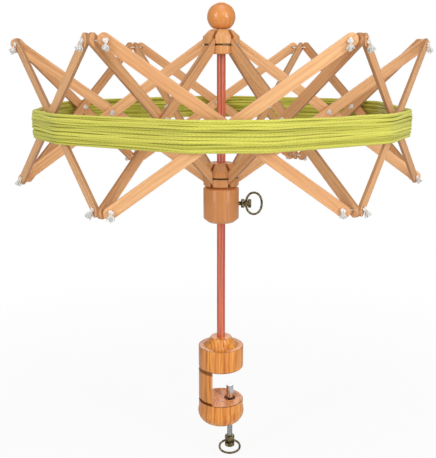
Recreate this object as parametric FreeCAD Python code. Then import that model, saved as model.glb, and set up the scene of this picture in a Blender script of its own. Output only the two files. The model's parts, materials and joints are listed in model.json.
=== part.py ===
import FreeCAD, Part
import math
import os

# Umbrella swift on a wooden table clamp, in millimetres.
# The origin is on the post's axis, on the underside of the clamp's upper jaw, which rests on the table.
# +Z is up and the jaw opens towards +X. The umbrella is open at rest, with a skein round its waist.

UP = FreeCAD.Vector(0, 0, 1)
FORWARD = FreeCAD.Vector(1, 0, 0)

# Post
SHAFT_D = 12.0
SHAFT_SOCKET_DEPTH = 30.0
GLUE_CLEARANCE = 0.02
SLIDE_CLEARANCE = 0.2
STACK_GAP = 0.5

# Clamp body
CLAMP_R = 33.0
CLAMP_BLOCK_H = 34.0
CLAMP_NECK_H = 13.0
CLAMP_NECK_R = 15.5
CLAMP_FLARE_R = 26.0
CLAMP_RIM = 1.0
FLARE_OUT_SHARE = 0.3
FLARE_UP_SHARE = 0.5
JAW_GAP = 51.0
JAW_BACK_X = -12.7
LOWER_JAW_H = 37.0
LOWER_JAW_SIDE_H = 12.0
LOWER_JAW_FOOT_R = 20.0
BOWL_IN_SHARE = 0.072
BOWL_UP_SHARE = 0.2
SPINE_GROOVE_DEPTH = 3.0
SPINE_GROOVE_H = 4.0

# Clamp screw
CLAMP_SCREW_X = 13.4
CLAMP_SCREW_D = 8.0
THREAD_CLEARANCE = 0.05
CLAMP_TRAVEL = 24.0
CLAMP_NUT_D = 13.0
CLAMP_NUT_H = 16.0
CLAMP_NUT_INSET = 0.5
JAW_HOLE_CLEARANCE = 0.75
JAW_SINK_R = 9.0
JAW_SINK_DEPTH = 3.5
PAD_D = 10.5
PAD_H = 21.0
PAD_TOP_WALL = 5.5
PAD_CLEARANCE = 0.15
PAD_EDGE = 0.8

# Spool shaped knobs
CLAMP_KNOB_R = 7.25
CLAMP_KNOB_ABOVE = 8.0
CLAMP_KNOB_BELOW = 9.0
CLAMP_KNOB_SEAT = 4.5
COLLAR_KNOB_R = 6.25
COLLAR_KNOB_ABOVE = 7.0
COLLAR_KNOB_BELOW = 7.4
KNOB_WAIST_R = 4.0
KNOB_GROOVE_ABOVE = 1.9
KNOB_GROOVE_BELOW = 3.0
KNOB_RIM = 1.2
KNOB_HOLE_CLEARANCE = 0.7
KNOB_STOP_GAP = 1.0

# Oval rings, drawn as four arcs
RING_WIRE_D = 3.2
RING_LONG = 34.0
RING_SHORT = 25.6
RING_END_R = 9.4

# Hubs
HUB_R = 24.75
HUB_H = 32.0
HUB_PIVOT_H = 12.0
HUB_CHAMFER_H = 9.0
HUB_TOP_R = 15.5
HUB_GROOVE_R = 21.8
HUB_GROOVE_H = 2.4
HUB_SLOT_R = 13.5
HUB_SLOT_CLEARANCE = 0.4
HUB_WIRE_R = 23.2
HUB_WIRE_D = 1.6
UPPER_PIVOT_Z = 463.0
STOP_RING_D = 16.0
STOP_RING_H = 4.0
STOP_RING_POCKET = 5.0
STOP_RING_CLEARANCE = 0.5

# Collar and its thumb screw
COLLAR_R = 25.0
COLLAR_H = 51.8
COLLAR_TOP_R = 18.4
COLLAR_TOP_CHAMFER_H = 3.5
COLLAR_FOOT_R = 18.5
COLLAR_FOOT_CHAMFER_H = 5.5
COLLAR_SCREW_H = 26.0
COLLAR_SCREW_D = 6.0
COLLAR_SCREW_REACH = 3.0
COLLAR_SCREW_TIP_GAP = 0.1
COLLAR_NUT_D = 9.0
COLLAR_NUT_LENGTH = 11.0
COLLAR_NUT_INSET = 0.8

# Ball on top of the post
FINIAL_D = 38.0
FINIAL_FOOT_R = 11.0
FINIAL_GAP = 1.0
FINIAL_SOCKET_DEPTH = 14.0

# Slats
ARM_COUNT = 6
FIRST_ARM_DEG = 1.42
SLAT_LENGTH = 307.0
SLAT_TAIL = 9.0
SLAT_W = 14.0
SLAT_T = 3.6
SLAT_GAP = 0.3
OPEN_DEG = 35.6
PANEL_STANDOFF = 2.5

# String ties
STRING_D = 2.0
STRING_CLEARANCE = 0.5
STRING_BEND_R = 1.5
STRING_LEAD = 1.8
STRING_ARM_LEAD = 1.15
STRING_TURN_ACROSS = 2.95
STRING_TURN_DEPTH = 2.0
KNOT_D = 5.6
KNOT_H = 2.9
KNOT_ROUND = 1.3
KNOT_GAP = 0.2

# Skein
SKEIN_TURNS = 16
YARN_D = 1.75
YARN_GAP = 0.45
SKEIN_STANDOFF = 3.5
SKEIN_DEPTH = 5.0
SKEIN_DROP = 8.0
SKEIN_CROWN = 1.2
SKEIN_CROWN_POWER = 4
SKEIN_FLAT = 43.0
SKEIN_BEND_R = 30.0
SKEIN_CORE_GAP = 0.35
SKEIN_CORE_CREST_SHARE = 0.33

# Worked out from the sizes above
QUARTER_ARC = 1 - math.sqrt(0.5)
OPEN = math.radians(OPEN_DEG)
LAYER_PITCH = SLAT_T + SLAT_GAP
CORNER_R = HUB_WIRE_R + SLAT_LENGTH * math.cos(OPEN)
HINGE_SPREAD = HUB_WIRE_R / 2
LOWER_PIVOT_Z = UPPER_PIVOT_Z - SLAT_LENGTH * math.sin(OPEN)
WAIST_Z = (UPPER_PIVOT_Z + LOWER_PIVOT_Z) / 2
SKEIN_Z = WAIST_Z - SKEIN_DROP
HOLE_D = STRING_D + 2 * STRING_CLEARANCE
SHAFT_R = SHAFT_D / 2
SHAFT_FOOT_Z = CLAMP_BLOCK_H + CLAMP_NECK_H - SHAFT_SOCKET_DEPTH
HUB_TOP_Z = UPPER_PIVOT_Z - HUB_PIVOT_H + HUB_H
FINIAL_FOOT_Z = HUB_TOP_Z + FINIAL_GAP
COLLAR_TOP_Z = LOWER_PIVOT_Z - HUB_PIVOT_H - STACK_GAP
COLLAR_FOOT_Z = COLLAR_TOP_Z - COLLAR_H
COLLAR_SCREW_Z = COLLAR_FOOT_Z + COLLAR_SCREW_H
COLLAR_KNOB_X = COLLAR_R + COLLAR_SCREW_REACH
LOWER_JAW_FOOT_Z = -JAW_GAP - LOWER_JAW_H
KNOB_TOP_Z = LOWER_JAW_FOOT_Z - CLAMP_TRAVEL - KNOB_STOP_GAP
CLAMP_KNOB_Z = KNOB_TOP_Z - CLAMP_KNOB_ABOVE
PAD_FOOT_Z = -JAW_GAP
PAD_TOP_Z = PAD_FOOT_Z + PAD_H


def direction(degrees):
    """Level unit vector at an azimuth."""
    angle = math.radians(degrees)
    return FreeCAD.Vector(math.cos(angle), math.sin(angle), 0)


def arm_azimuth(arm):
    return FIRST_ARM_DEG + arm * 360.0 / ARM_COUNT


def placed(shape, origin, x_axis, z_axis):
    """The shape with its own origin, X and Z taken to a place and two directions."""
    y_axis = z_axis.cross(x_axis)
    matrix = FreeCAD.Matrix(
        x_axis.x, y_axis.x, z_axis.x, origin.x,
        x_axis.y, y_axis.y, z_axis.y, origin.y,
        x_axis.z, y_axis.z, z_axis.z, origin.z,
        0, 0, 0, 1,
    )
    result = shape.copy()
    result.Placement = FreeCAD.Placement(matrix).multiply(shape.Placement)
    return result


def cylinder(radius, z_from, z_to, centre=(0, 0)):
    """Upright cylinder between two heights."""
    foot = FreeCAD.Vector(centre[0], centre[1], z_from)
    return Part.makeCylinder(radius, z_to - z_from, foot)


def turned(steps):
    """Solid of revolution about Z. Each step is a point (r, z), or two points: an arc's middle and end."""
    def at(point):
        return FreeCAD.Vector(point[0], 0, point[1])

    edges = []
    here = at(steps[0])
    for step in steps[1:] + [steps[0]]:
        if isinstance(step[0], tuple):
            end = at(step[1])
            edges.append(Part.Arc(here, at(step[0]), end).toShape())
        else:
            end = at(step)
            edges.append(Part.makeLine(here, end))
        here = end
    face = Part.Face(Part.Wire(edges))
    return face.revolve(FreeCAD.Vector(0, 0, 0), UP, 360)


def rounded_route(points, radius):
    """Straight runs between points, joined by tangent arcs: the wire and the arcs' ends and middles."""
    edges = []
    marks = [points[0]]
    here = points[0]
    for before, corner, after in zip(points, points[1:], points[2:]):
        arriving = (corner - before).normalize()
        leaving = (after - corner).normalize()
        half_turn = arriving.getAngle(leaving) / 2
        back = radius * math.tan(half_turn)
        start = corner - arriving * back
        end = corner + leaving * back
        inward = (leaving - arriving).normalize()
        middle = corner + inward * (radius / math.cos(half_turn) - radius)
        edges.append(Part.makeLine(here, start))
        edges.append(Part.Arc(start, middle, end).toShape())
        marks.extend([start, middle, end])
        here = end
    edges.append(Part.makeLine(here, points[-1]))
    marks.append(points[-1])
    return Part.Wire(edges), marks


def tube(wire, diameter):
    """Round tube along a wire."""
    first = wire.OrderedEdges[0]
    start = first.valueAt(first.FirstParameter)
    along = first.tangentAt(first.FirstParameter)
    section = Part.Wire(Part.makeCircle(diameter / 2, start, along))
    return wire.makePipeShell([section], True, False)


def knot(centre, axis):
    """Flattened knot, round about the string that it ends."""
    body = Part.makeCylinder(KNOT_D / 2, KNOT_H, centre - axis * (KNOT_H / 2), axis)
    return body.makeFillet(KNOT_ROUND, [edge for edge in body.Edges if len(edge.Vertexes) == 1])


def straight_tie(centre, axis, half_length):
    """String through the holes of two slats, with a knot outside each."""
    reach = half_length + KNOT_GAP + KNOT_H / 2
    string = Part.makeCylinder(STRING_D / 2, 2 * reach, centre - axis * reach, axis)
    return string.fuse([knot(centre - axis * reach, axis), knot(centre + axis * reach, axis)])


def clamp_block():
    """Turned clamp body: lower jaw, grooved spine, upper block and the flared neck that holds the post."""
    groove_r = CLAMP_R - SPINE_GROOVE_DEPTH
    block_top_r = CLAMP_R - CLAMP_RIM
    neck_top_z = CLAMP_BLOCK_H + CLAMP_NECK_H
    bowl = (CLAMP_R * (1 - BOWL_IN_SHARE), LOWER_JAW_FOOT_Z + BOWL_UP_SHARE * LOWER_JAW_H)
    flare = (
        CLAMP_NECK_R + FLARE_OUT_SHARE * (CLAMP_FLARE_R - CLAMP_NECK_R),
        CLAMP_BLOCK_H + FLARE_UP_SHARE * CLAMP_NECK_H,
    )
    groove_round = QUARTER_ARC * SPINE_GROOVE_DEPTH
    body = turned([
        (0, LOWER_JAW_FOOT_Z),
        (LOWER_JAW_FOOT_R, LOWER_JAW_FOOT_Z),
        (bowl, (CLAMP_R, -JAW_GAP - LOWER_JAW_SIDE_H)),
        (CLAMP_R, -JAW_GAP - CLAMP_RIM),
        (block_top_r, -JAW_GAP),
        (groove_r, -JAW_GAP),
        (CLAMP_R, SPINE_GROOVE_H - JAW_GAP),
        (CLAMP_R, -SPINE_GROOVE_H),
        (groove_r, 0),
        ((CLAMP_R - groove_round, groove_round), (CLAMP_R, SPINE_GROOVE_DEPTH)),
        (CLAMP_R, CLAMP_BLOCK_H - CLAMP_RIM),
        (block_top_r, CLAMP_BLOCK_H),
        (CLAMP_FLARE_R, CLAMP_BLOCK_H),
        (flare, (CLAMP_NECK_R, neck_top_z)),
        (0, neck_top_z),
    ])
    jaw = Part.makeBox(
        2 * CLAMP_R, 4 * CLAMP_R, JAW_GAP, FreeCAD.Vector(JAW_BACK_X, -2 * CLAMP_R, -JAW_GAP)
    )
    screw_at = (CLAMP_SCREW_X, 0)
    hole_r = CLAMP_SCREW_D / 2 + JAW_HOLE_CLEARANCE
    sink = Part.makeCone(
        hole_r, JAW_SINK_R, JAW_SINK_DEPTH, FreeCAD.Vector(CLAMP_SCREW_X, 0, -JAW_GAP - JAW_SINK_DEPTH)
    )
    nut_top_z = LOWER_JAW_FOOT_Z + CLAMP_NUT_INSET + CLAMP_NUT_H
    cuts = [
        jaw,
        sink,
        cylinder(hole_r, LOWER_JAW_FOOT_Z - 1, -JAW_GAP, screw_at),
        cylinder(CLAMP_NUT_D / 2 + GLUE_CLEARANCE, LOWER_JAW_FOOT_Z - 1, nut_top_z, screw_at),
        cylinder(SHAFT_R + GLUE_CLEARANCE, SHAFT_FOOT_Z, neck_top_z + 1),
    ]
    return body.cut(cuts)


def clamp_nut():
    """Threaded insert in the foot of the lower jaw."""
    foot = LOWER_JAW_FOOT_Z + CLAMP_NUT_INSET
    at = (CLAMP_SCREW_X, 0)
    bore = cylinder(CLAMP_SCREW_D / 2 + THREAD_CLEARANCE, foot - 1, foot + CLAMP_NUT_H + 1, at)
    return cylinder(CLAMP_NUT_D / 2, foot, foot + CLAMP_NUT_H, at).cut(bore)


def clamp_screw():
    """Screw rod from its seat in the knob to its end inside the swivelling pad."""
    foot = KNOB_TOP_Z - CLAMP_KNOB_SEAT + GLUE_CLEARANCE
    top = PAD_TOP_Z - PAD_TOP_WALL - SLIDE_CLEARANCE
    return cylinder(CLAMP_SCREW_D / 2, foot, top, (CLAMP_SCREW_X, 0))


def clamp_pad():
    """Long cap on the end of the screw, with a soft edge on top."""
    at = (CLAMP_SCREW_X, 0)
    radius = PAD_D / 2
    cap = turned([
        (0, PAD_FOOT_Z),
        (radius, PAD_FOOT_Z),
        (radius, PAD_TOP_Z - PAD_EDGE),
        (radius - PAD_EDGE, PAD_TOP_Z),
        (0, PAD_TOP_Z),
    ])
    cap.translate(FreeCAD.Vector(CLAMP_SCREW_X, 0, 0))
    bore_r = CLAMP_SCREW_D / 2 + PAD_CLEARANCE
    return cap.cut(cylinder(bore_r, PAD_FOOT_Z - 1, PAD_TOP_Z - PAD_TOP_WALL, at))


def spool(radius, above, below):
    """Knob of two round collars with a waist between, on its own Z, with the cross hole at its origin."""
    top = KNOB_GROOVE_ABOVE
    low = -KNOB_GROOVE_BELOW
    lip = QUARTER_ARC * KNOB_RIM
    body = turned([
        (0, -below),
        (radius - KNOB_RIM, -below),
        ((radius - lip, lip - below), (radius, KNOB_RIM - below)),
        (radius, low - KNOB_RIM),
        ((radius - lip, low - lip), (radius - KNOB_RIM, low)),
        (KNOB_WAIST_R, low),
        (KNOB_WAIST_R, top),
        (radius - KNOB_RIM, top),
        ((radius - lip, top + lip), (radius, top + KNOB_RIM)),
        (radius, above - KNOB_RIM),
        ((radius - lip, above - lip), (radius - KNOB_RIM, above)),
        (0, above),
    ])
    hole_r = RING_WIRE_D / 2 + KNOB_HOLE_CLEARANCE
    start = FreeCAD.Vector(-2 * radius, 0, 0)
    return body.cut(Part.makeCylinder(hole_r, 4 * radius, start, FORWARD))


def clamp_knob():
    """Knob on the foot of the clamp screw."""
    knob = spool(CLAMP_KNOB_R, CLAMP_KNOB_ABOVE, CLAMP_KNOB_BELOW)
    knob.translate(FreeCAD.Vector(CLAMP_SCREW_X, 0, CLAMP_KNOB_Z))
    seat_z = KNOB_TOP_Z - CLAMP_KNOB_SEAT
    seat = cylinder(CLAMP_SCREW_D / 2 + GLUE_CLEARANCE, seat_z, KNOB_TOP_Z + 1, (CLAMP_SCREW_X, 0))
    return knob.cut(seat)


def oval_ring():
    """Wire ring hanging from its own origin, long way along X and drop along -Z, as four tangent arcs."""
    half_long = (RING_LONG - RING_WIRE_D) / 2
    half_short = (RING_SHORT - RING_WIRE_D) / 2
    reach = half_long - RING_END_R
    side_r = (reach ** 2 + half_short ** 2 - RING_END_R ** 2) / (2 * (half_short - RING_END_R))
    rise = side_r - half_short
    lean = math.atan2(rise, reach)

    def at(x, z):
        return FreeCAD.Vector(x, 0, z - half_short)

    join_x = reach + RING_END_R * math.cos(lean)
    join_z = RING_END_R * math.sin(lean)
    arcs = [
        Part.Arc(at(-join_x, join_z), at(0, half_short), at(join_x, join_z)),
        Part.Arc(at(join_x, join_z), at(half_long, 0), at(join_x, -join_z)),
        Part.Arc(at(join_x, -join_z), at(0, -half_short), at(-join_x, -join_z)),
        Part.Arc(at(-join_x, -join_z), at(-half_long, 0), at(-join_x, join_z)),
    ]
    return tube(Part.Wire([arc.toShape() for arc in arcs]), RING_WIRE_D)


def clamp_ring():
    """Ring hanging through the clamp knob's cross hole."""
    ring = oval_ring()
    ring.translate(FreeCAD.Vector(CLAMP_SCREW_X, 0, CLAMP_KNOB_Z))
    return ring


def shaft():
    """Post, from its socket in the clamp to its socket in the ball."""
    return cylinder(SHAFT_R, SHAFT_FOOT_Z + GLUE_CLEARANCE, FINIAL_FOOT_Z + FINIAL_SOCKET_DEPTH - GLUE_CLEARANCE)


def finial():
    """Ball with a flat foot and a blind socket for the post."""
    radius = FINIAL_D / 2
    centre_z = FINIAL_FOOT_Z + math.sqrt(radius ** 2 - FINIAL_FOOT_R ** 2)
    ball = Part.makeSphere(radius, FreeCAD.Vector(0, 0, centre_z))
    below = cylinder(FINIAL_D, centre_z - FINIAL_D, FINIAL_FOOT_Z)
    socket = cylinder(SHAFT_R + GLUE_CLEARANCE, FINIAL_FOOT_Z - 1, FINIAL_FOOT_Z + FINIAL_SOCKET_DEPTH)
    return ball.cut([below, socket])


def hub_stop_ring():
    """Ring fixed on the post inside the upper hub's pocket, which carries the umbrella."""
    ceiling = UPPER_PIVOT_Z - HUB_PIVOT_H + STOP_RING_POCKET
    top = ceiling - SLIDE_CLEARANCE
    foot = top - STOP_RING_H
    bore = cylinder(SHAFT_R + GLUE_CLEARANCE, foot - 1, top + 1)
    return cylinder(STOP_RING_D / 2, foot, top).cut(bore)


def hub(pivot_z, slat_side):
    """Slotted hub with a groove for the wire on which its slats hinge."""
    foot = pivot_z - HUB_PIVOT_H
    top = foot + HUB_H
    half_groove = HUB_GROOVE_H / 2
    body = turned([
        (0, foot),
        (HUB_R, foot),
        (HUB_R, pivot_z - half_groove),
        (HUB_GROOVE_R, pivot_z - half_groove),
        (HUB_GROOVE_R, pivot_z + half_groove),
        (HUB_R, pivot_z + half_groove),
        (HUB_R, top - HUB_CHAMFER_H),
        (HUB_TOP_R, top),
        (0, top),
    ])
    cuts = [
        cylinder(SHAFT_R + SLIDE_CLEARANCE, foot - 1, top + 1),
        cylinder(STOP_RING_D / 2 + STOP_RING_CLEARANCE, foot - 1, foot + STOP_RING_POCKET),
    ]
    slot_w = SLAT_T + 2 * HUB_SLOT_CLEARANCE
    slot_start = FreeCAD.Vector(HUB_SLOT_R, slat_side * LAYER_PITCH / 2 - slot_w / 2, foot - 1)
    slot = Part.makeBox(HUB_R, slot_w, HUB_H + 2, slot_start)
    for arm in range(ARM_COUNT):
        cuts.append(placed(slot, FreeCAD.Vector(0, 0, 0), direction(arm_azimuth(arm)), UP))
    return body.cut(cuts)


def hub_wire(pivot_z):
    """Wire ring in a hub's groove, through the end holes of its six slats."""
    return Part.makeTorus(HUB_WIRE_R, HUB_WIRE_D / 2, FreeCAD.Vector(0, 0, pivot_z))


def collar():
    """Sliding collar with a cross hole for its nut and thumb screw."""
    body = turned([
        (0, COLLAR_FOOT_Z),
        (COLLAR_FOOT_R, COLLAR_FOOT_Z),
        (COLLAR_R, COLLAR_FOOT_Z + COLLAR_FOOT_CHAMFER_H),
        (COLLAR_R, COLLAR_TOP_Z - COLLAR_TOP_CHAMFER_H),
        (COLLAR_TOP_R, COLLAR_TOP_Z),
        (0, COLLAR_TOP_Z),
    ])
    middle = FreeCAD.Vector(0, 0, COLLAR_SCREW_Z)
    nut_start = COLLAR_R - COLLAR_NUT_INSET - COLLAR_NUT_LENGTH
    stud_hole = Part.makeCylinder(COLLAR_SCREW_D / 2 + SLIDE_CLEARANCE, 2 * COLLAR_R, middle, FORWARD)
    nut_hole = Part.makeCylinder(
        COLLAR_NUT_D / 2 + GLUE_CLEARANCE, COLLAR_R, middle + FORWARD * nut_start, FORWARD
    )
    bore = cylinder(SHAFT_R + SLIDE_CLEARANCE, COLLAR_FOOT_Z - 1, COLLAR_TOP_Z + 1)
    return body.cut([bore, stud_hole, nut_hole])


def collar_nut():
    """Threaded insert in the collar's side."""
    start = FreeCAD.Vector(COLLAR_R - COLLAR_NUT_INSET - COLLAR_NUT_LENGTH, 0, COLLAR_SCREW_Z)
    body = Part.makeCylinder(COLLAR_NUT_D / 2, COLLAR_NUT_LENGTH, start, FORWARD)
    thread_r = COLLAR_SCREW_D / 2 + THREAD_CLEARANCE
    return body.cut(Part.makeCylinder(thread_r, 4 * COLLAR_NUT_LENGTH, start - FORWARD, FORWARD))


def collar_screw():
    """Thumb screw: a stud that presses on the post, and a spool knob in one with it."""
    tip = FreeCAD.Vector(SHAFT_R + COLLAR_SCREW_TIP_GAP, 0, COLLAR_SCREW_Z)
    length = COLLAR_KNOB_X + COLLAR_KNOB_ABOVE / 2 - tip.x
    stud = Part.makeCylinder(COLLAR_SCREW_D / 2, length, tip, FORWARD)
    knob = spool(COLLAR_KNOB_R, COLLAR_KNOB_ABOVE, COLLAR_KNOB_BELOW)
    hole_at = FreeCAD.Vector(COLLAR_KNOB_X + COLLAR_KNOB_ABOVE, 0, COLLAR_SCREW_Z)
    return stud.fuse(placed(knob, hole_at, UP, FORWARD * -1)).removeSplitter()


def collar_ring():
    """Ring through the thumb screw's cross hole, standing outwards."""
    hole_at = FreeCAD.Vector(COLLAR_KNOB_X + COLLAR_KNOB_ABOVE, 0, COLLAR_SCREW_Z)
    return placed(oval_ring(), hole_at, UP, FORWARD * -1)


def slat():
    """Slat along X from its first hole at the origin, thickness centred on Z."""
    half_w = SLAT_W / 2
    start_x = half_w - SLAT_TAIL
    end_x = SLAT_LENGTH + SLAT_TAIL - half_w

    def at(x, y):
        return FreeCAD.Vector(x, y, -SLAT_T / 2)

    outline = Part.Wire([
        Part.makeLine(at(start_x, -half_w), at(end_x, -half_w)),
        Part.Arc(at(end_x, -half_w), at(end_x + half_w, 0), at(end_x, half_w)).toShape(),
        Part.makeLine(at(end_x, half_w), at(start_x, half_w)),
        Part.Arc(at(start_x, half_w), at(start_x - half_w, 0), at(start_x, -half_w)).toShape(),
    ])
    body = Part.Face(outline).extrude(UP * SLAT_T)
    holes = [cylinder(HOLE_D / 2, -SLAT_T, SLAT_T, (x, 0)) for x in (0, SLAT_LENGTH / 2, SLAT_LENGTH)]
    return body.cut(holes)


def arm_slat(arm, going_down):
    """Arm slat in its hub's slot: from the upper hub down to a lower corner, or the other way up."""
    side = 1 if going_down else -1
    outward = direction(arm_azimuth(arm))
    across = direction(arm_azimuth(arm) + 90)
    start_z = UPPER_PIVOT_Z if going_down else LOWER_PIVOT_Z
    start = outward * HUB_WIRE_R + across * (side * LAYER_PITCH / 2) + UP * start_z
    along = outward * math.cos(OPEN) - UP * (side * math.sin(OPEN))
    return placed(slat(), start, along, across)


def arm_crossing_tie(arm):
    """String at the crossing of an arm's two slats."""
    outward = direction(arm_azimuth(arm))
    middle = outward * ((HUB_WIRE_R + CORNER_R) / 2) + UP * WAIST_Z
    return straight_tie(middle, direction(arm_azimuth(arm) + 90), SLAT_T + SLAT_GAP / 2)


def panel_point(corner_arm, towards_next, pivot_z, sideways, outwards):
    """Point beside a corner: along the panel and out from its plane; and the panel's outward normal."""
    side = 1 if towards_next else -1
    azimuth = arm_azimuth(corner_arm)
    panel_turn = 180.0 / ARM_COUNT
    normal = direction(azimuth + side * panel_turn)
    along = direction(azimuth + side * (panel_turn + 90))
    corner = direction(azimuth) * CORNER_R + UP * pivot_z
    return corner + along * sideways + normal * outwards, normal


def panel_hinge(corner_arm, towards_next, layer, pivot_z):
    """Where a lattice slat hinges at a corner, and the outward normal of its panel."""
    outwards = PANEL_STANDOFF + layer * LAYER_PITCH
    return panel_point(corner_arm, towards_next, pivot_z, HINGE_SPREAD, outwards)


def panel_slat(arm, going_down):
    """Lattice slat from one arm's corner to the next arm's: down in the inner layer, up in the outer."""
    layer = 0 if going_down else 1
    pivot_z = UPPER_PIVOT_Z if going_down else LOWER_PIVOT_Z
    start, normal = panel_hinge(arm, True, layer, pivot_z)
    chord = UP.cross(normal)
    rise = -math.sin(OPEN) if going_down else math.sin(OPEN)
    return placed(slat(), start, chord * math.cos(OPEN) + UP * rise, normal)


def corner_tie(arm, upper):
    """Limp string through the three slats of a corner, with a knot outside each lattice slat."""
    pivot_z = UPPER_PIVOT_Z if upper else LOWER_PIVOT_Z
    across = direction(arm_azimuth(arm) + 90)
    left, left_normal = panel_hinge(arm, False, 1 if upper else 0, pivot_z)
    right, right_normal = panel_hinge(arm, True, 0 if upper else 1, pivot_z)
    side = -1 if upper else 1
    middle = direction(arm_azimuth(arm)) * CORNER_R + UP * pivot_z + across * (side * LAYER_PITCH / 2)
    outside = SLAT_T / 2 + KNOT_GAP + KNOT_H / 2
    inside = SLAT_T / 2 + STRING_LEAD
    beside_arm = SLAT_T / 2 + STRING_ARM_LEAD
    behind_end = PANEL_STANDOFF - SLAT_T / 2 - STRING_TURN_DEPTH
    turn = panel_point(arm, upper, pivot_z, STRING_TURN_ACROSS, behind_end)[0]
    route = [
        left + left_normal * outside,
        left - left_normal * inside,
        middle - across * beside_arm,
        middle + across * beside_arm,
        right - right_normal * inside,
        right + right_normal * outside,
    ]
    route.insert(4 if upper else 2, turn)
    string = tube(rounded_route(route, STRING_BEND_R)[0], STRING_D)
    return string.fuse([knot(route[0], left_normal), knot(route[-1], right_normal)])


def waist_tie(arm):
    """String at the crossing of a panel's two lattice slats, halfway up."""
    panel_turn = 180.0 / ARM_COUNT
    normal = direction(arm_azimuth(arm) + panel_turn)
    apothem = CORNER_R * math.cos(math.radians(panel_turn)) + PANEL_STANDOFF + LAYER_PITCH / 2
    return straight_tie(normal * apothem + UP * WAIST_Z, normal, SLAT_T + SLAT_GAP / 2)


def skein_inner_apothem():
    """Distance from the post to the skein's inner face, in front of a panel's crossing."""
    panel_plane = CORNER_R * math.cos(math.pi / ARM_COUNT) + PANEL_STANDOFF
    return panel_plane + LAYER_PITCH + SLAT_T / 2 + SKEIN_STANDOFF


def skein_corner(step, apothem, z):
    """Corner of the skein's loop: two for each panel, with a flat between them over the crossing."""
    panel = step // 2
    side = 2 * (step % 2) - 1
    normal = direction(arm_azimuth(panel) + 180.0 / ARM_COUNT)
    return normal * apothem + UP.cross(normal) * (side * SKEIN_FLAT) + UP * z


def skein_ring(apothem, bend_r, z_from, z_to):
    """Solid inside the skein's loop at one distance from the post."""
    corners = [skein_corner(step, apothem, z_from) for step in range(2 * ARM_COUNT)]
    start = (corners[0] + corners[-1]) * 0.5
    loop = rounded_route([start] + corners + [start], bend_r)[0]
    return Part.Face(loop).extrude(UP * (z_to - z_from))


def skein_core():
    """Plain core under the skein's outer turns, with its outer edges cut back under the crown."""
    half_height = SKEIN_TURNS * (YARN_D + YARN_GAP) / 2 - YARN_D / 2
    outer = skein_inner_apothem() + SKEIN_DEPTH - YARN_D - SKEIN_CORE_GAP
    outer_bend_r = SKEIN_BEND_R - YARN_D / 2 - SKEIN_CORE_GAP
    inner_bend_r = outer_bend_r - (outer - skein_inner_apothem())
    crest_half = half_height * SKEIN_CORE_CREST_SHARE
    middle = skein_ring(outer, outer_bend_r, SKEIN_Z - crest_half, SKEIN_Z + crest_half)
    whole = skein_ring(outer - SKEIN_CROWN, outer_bend_r, SKEIN_Z - half_height, SKEIN_Z + half_height)
    hole = skein_ring(
        skein_inner_apothem(), inner_bend_r, SKEIN_Z - half_height - 1, SKEIN_Z + half_height + 1
    )
    return whole.fuse(middle).removeSplitter().cut(hole)


def skein_turns():
    """Outer turns of the skein as one unbroken tube, and its route."""
    pitch = YARN_D + YARN_GAP
    per_turn = 2 * ARM_COUNT
    steps = SKEIN_TURNS * per_turn
    half_height = (steps - 1) / per_turn * pitch / 2
    points = []
    for step in range(steps):
        share = 2.0 * step / (steps - 1) - 1
        apothem = skein_inner_apothem() + SKEIN_DEPTH - YARN_D / 2 - SKEIN_CROWN * share ** SKEIN_CROWN_POWER
        points.append(skein_corner(step % per_turn, apothem, SKEIN_Z + share * half_height))
    wire, marks = rounded_route(points, SKEIN_BEND_R)
    return tube(wire, YARN_D), marks


def least_gap(marks, diameter, per_turn):
    """Least gap between one turn of a tube and the next, measured on points along its runs."""
    least = None
    for index in range(len(marks) - per_turn - 1):
        point = marks[index]
        for other in range(index + per_turn - 3, min(index + per_turn + 3, len(marks) - 1)):
            start = marks[other]
            run = marks[other + 1] - start
            share = max(0.0, min(1.0, (point - start).dot(run) / run.dot(run)))
            gap = (point - start - run * share).Length - diameter
            least = gap if least is None else min(least, gap)
    return least


def build():
    """Every piece under its node's name."""
    pieces = {
        "clamp_block": clamp_block(),
        "clamp_nut": clamp_nut(),
        "clamp_screw": clamp_screw(),
        "clamp_pad": clamp_pad(),
        "clamp_knob": clamp_knob(),
        "clamp_ring": clamp_ring(),
        "shaft": shaft(),
        "finial": finial(),
        "hub_stop_ring": hub_stop_ring(),
        "upper_hub": hub(UPPER_PIVOT_Z, 1),
        "upper_hub_wire": hub_wire(UPPER_PIVOT_Z),
        "lower_hub": hub(LOWER_PIVOT_Z, -1),
        "lower_hub_wire": hub_wire(LOWER_PIVOT_Z),
        "collar": collar(),
        "collar_nut": collar_nut(),
        "collar_screw": collar_screw(),
        "collar_ring": collar_ring(),
    }
    for arm in range(ARM_COUNT):
        number = arm + 1
        down = arm_slat(arm, True)
        pieces[f"arm_slat_down_{number}"] = Part.makeCompound([down, arm_crossing_tie(arm)])
        pieces[f"arm_slat_up_{number}"] = arm_slat(arm, False)
        pieces[f"panel_slat_down_{number}"] = panel_slat(arm, True)
        pieces[f"panel_slat_up_{number}"] = panel_slat(arm, False)
        pieces[f"upper_corner_tie_{number}"] = corner_tie(arm, True)
        pieces[f"lower_corner_tie_{number}"] = corner_tie(arm, False)
        pieces[f"waist_tie_{number}"] = waist_tie(arm)
    turns, marks = skein_turns()
    pieces["yarn_skein"] = Part.makeCompound([skein_core(), turns])
    marks_per_turn = 3 * 2 * ARM_COUNT
    print("least gap of the skein's tube to itself, mm:", round(least_gap(marks, YARN_D, marks_per_turn), 3))
    return pieces


def main():
    os.makedirs("parts", exist_ok=True)
    for name, shape in build().items():
        shape.exportStep(os.path.join("parts", name + ".step"))


main()
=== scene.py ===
import json
import math
import random

import bpy
import numpy as np
from bpy.props import FloatProperty, FloatVectorProperty, IntProperty, PointerProperty
from mathutils import Matrix, Vector


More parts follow.
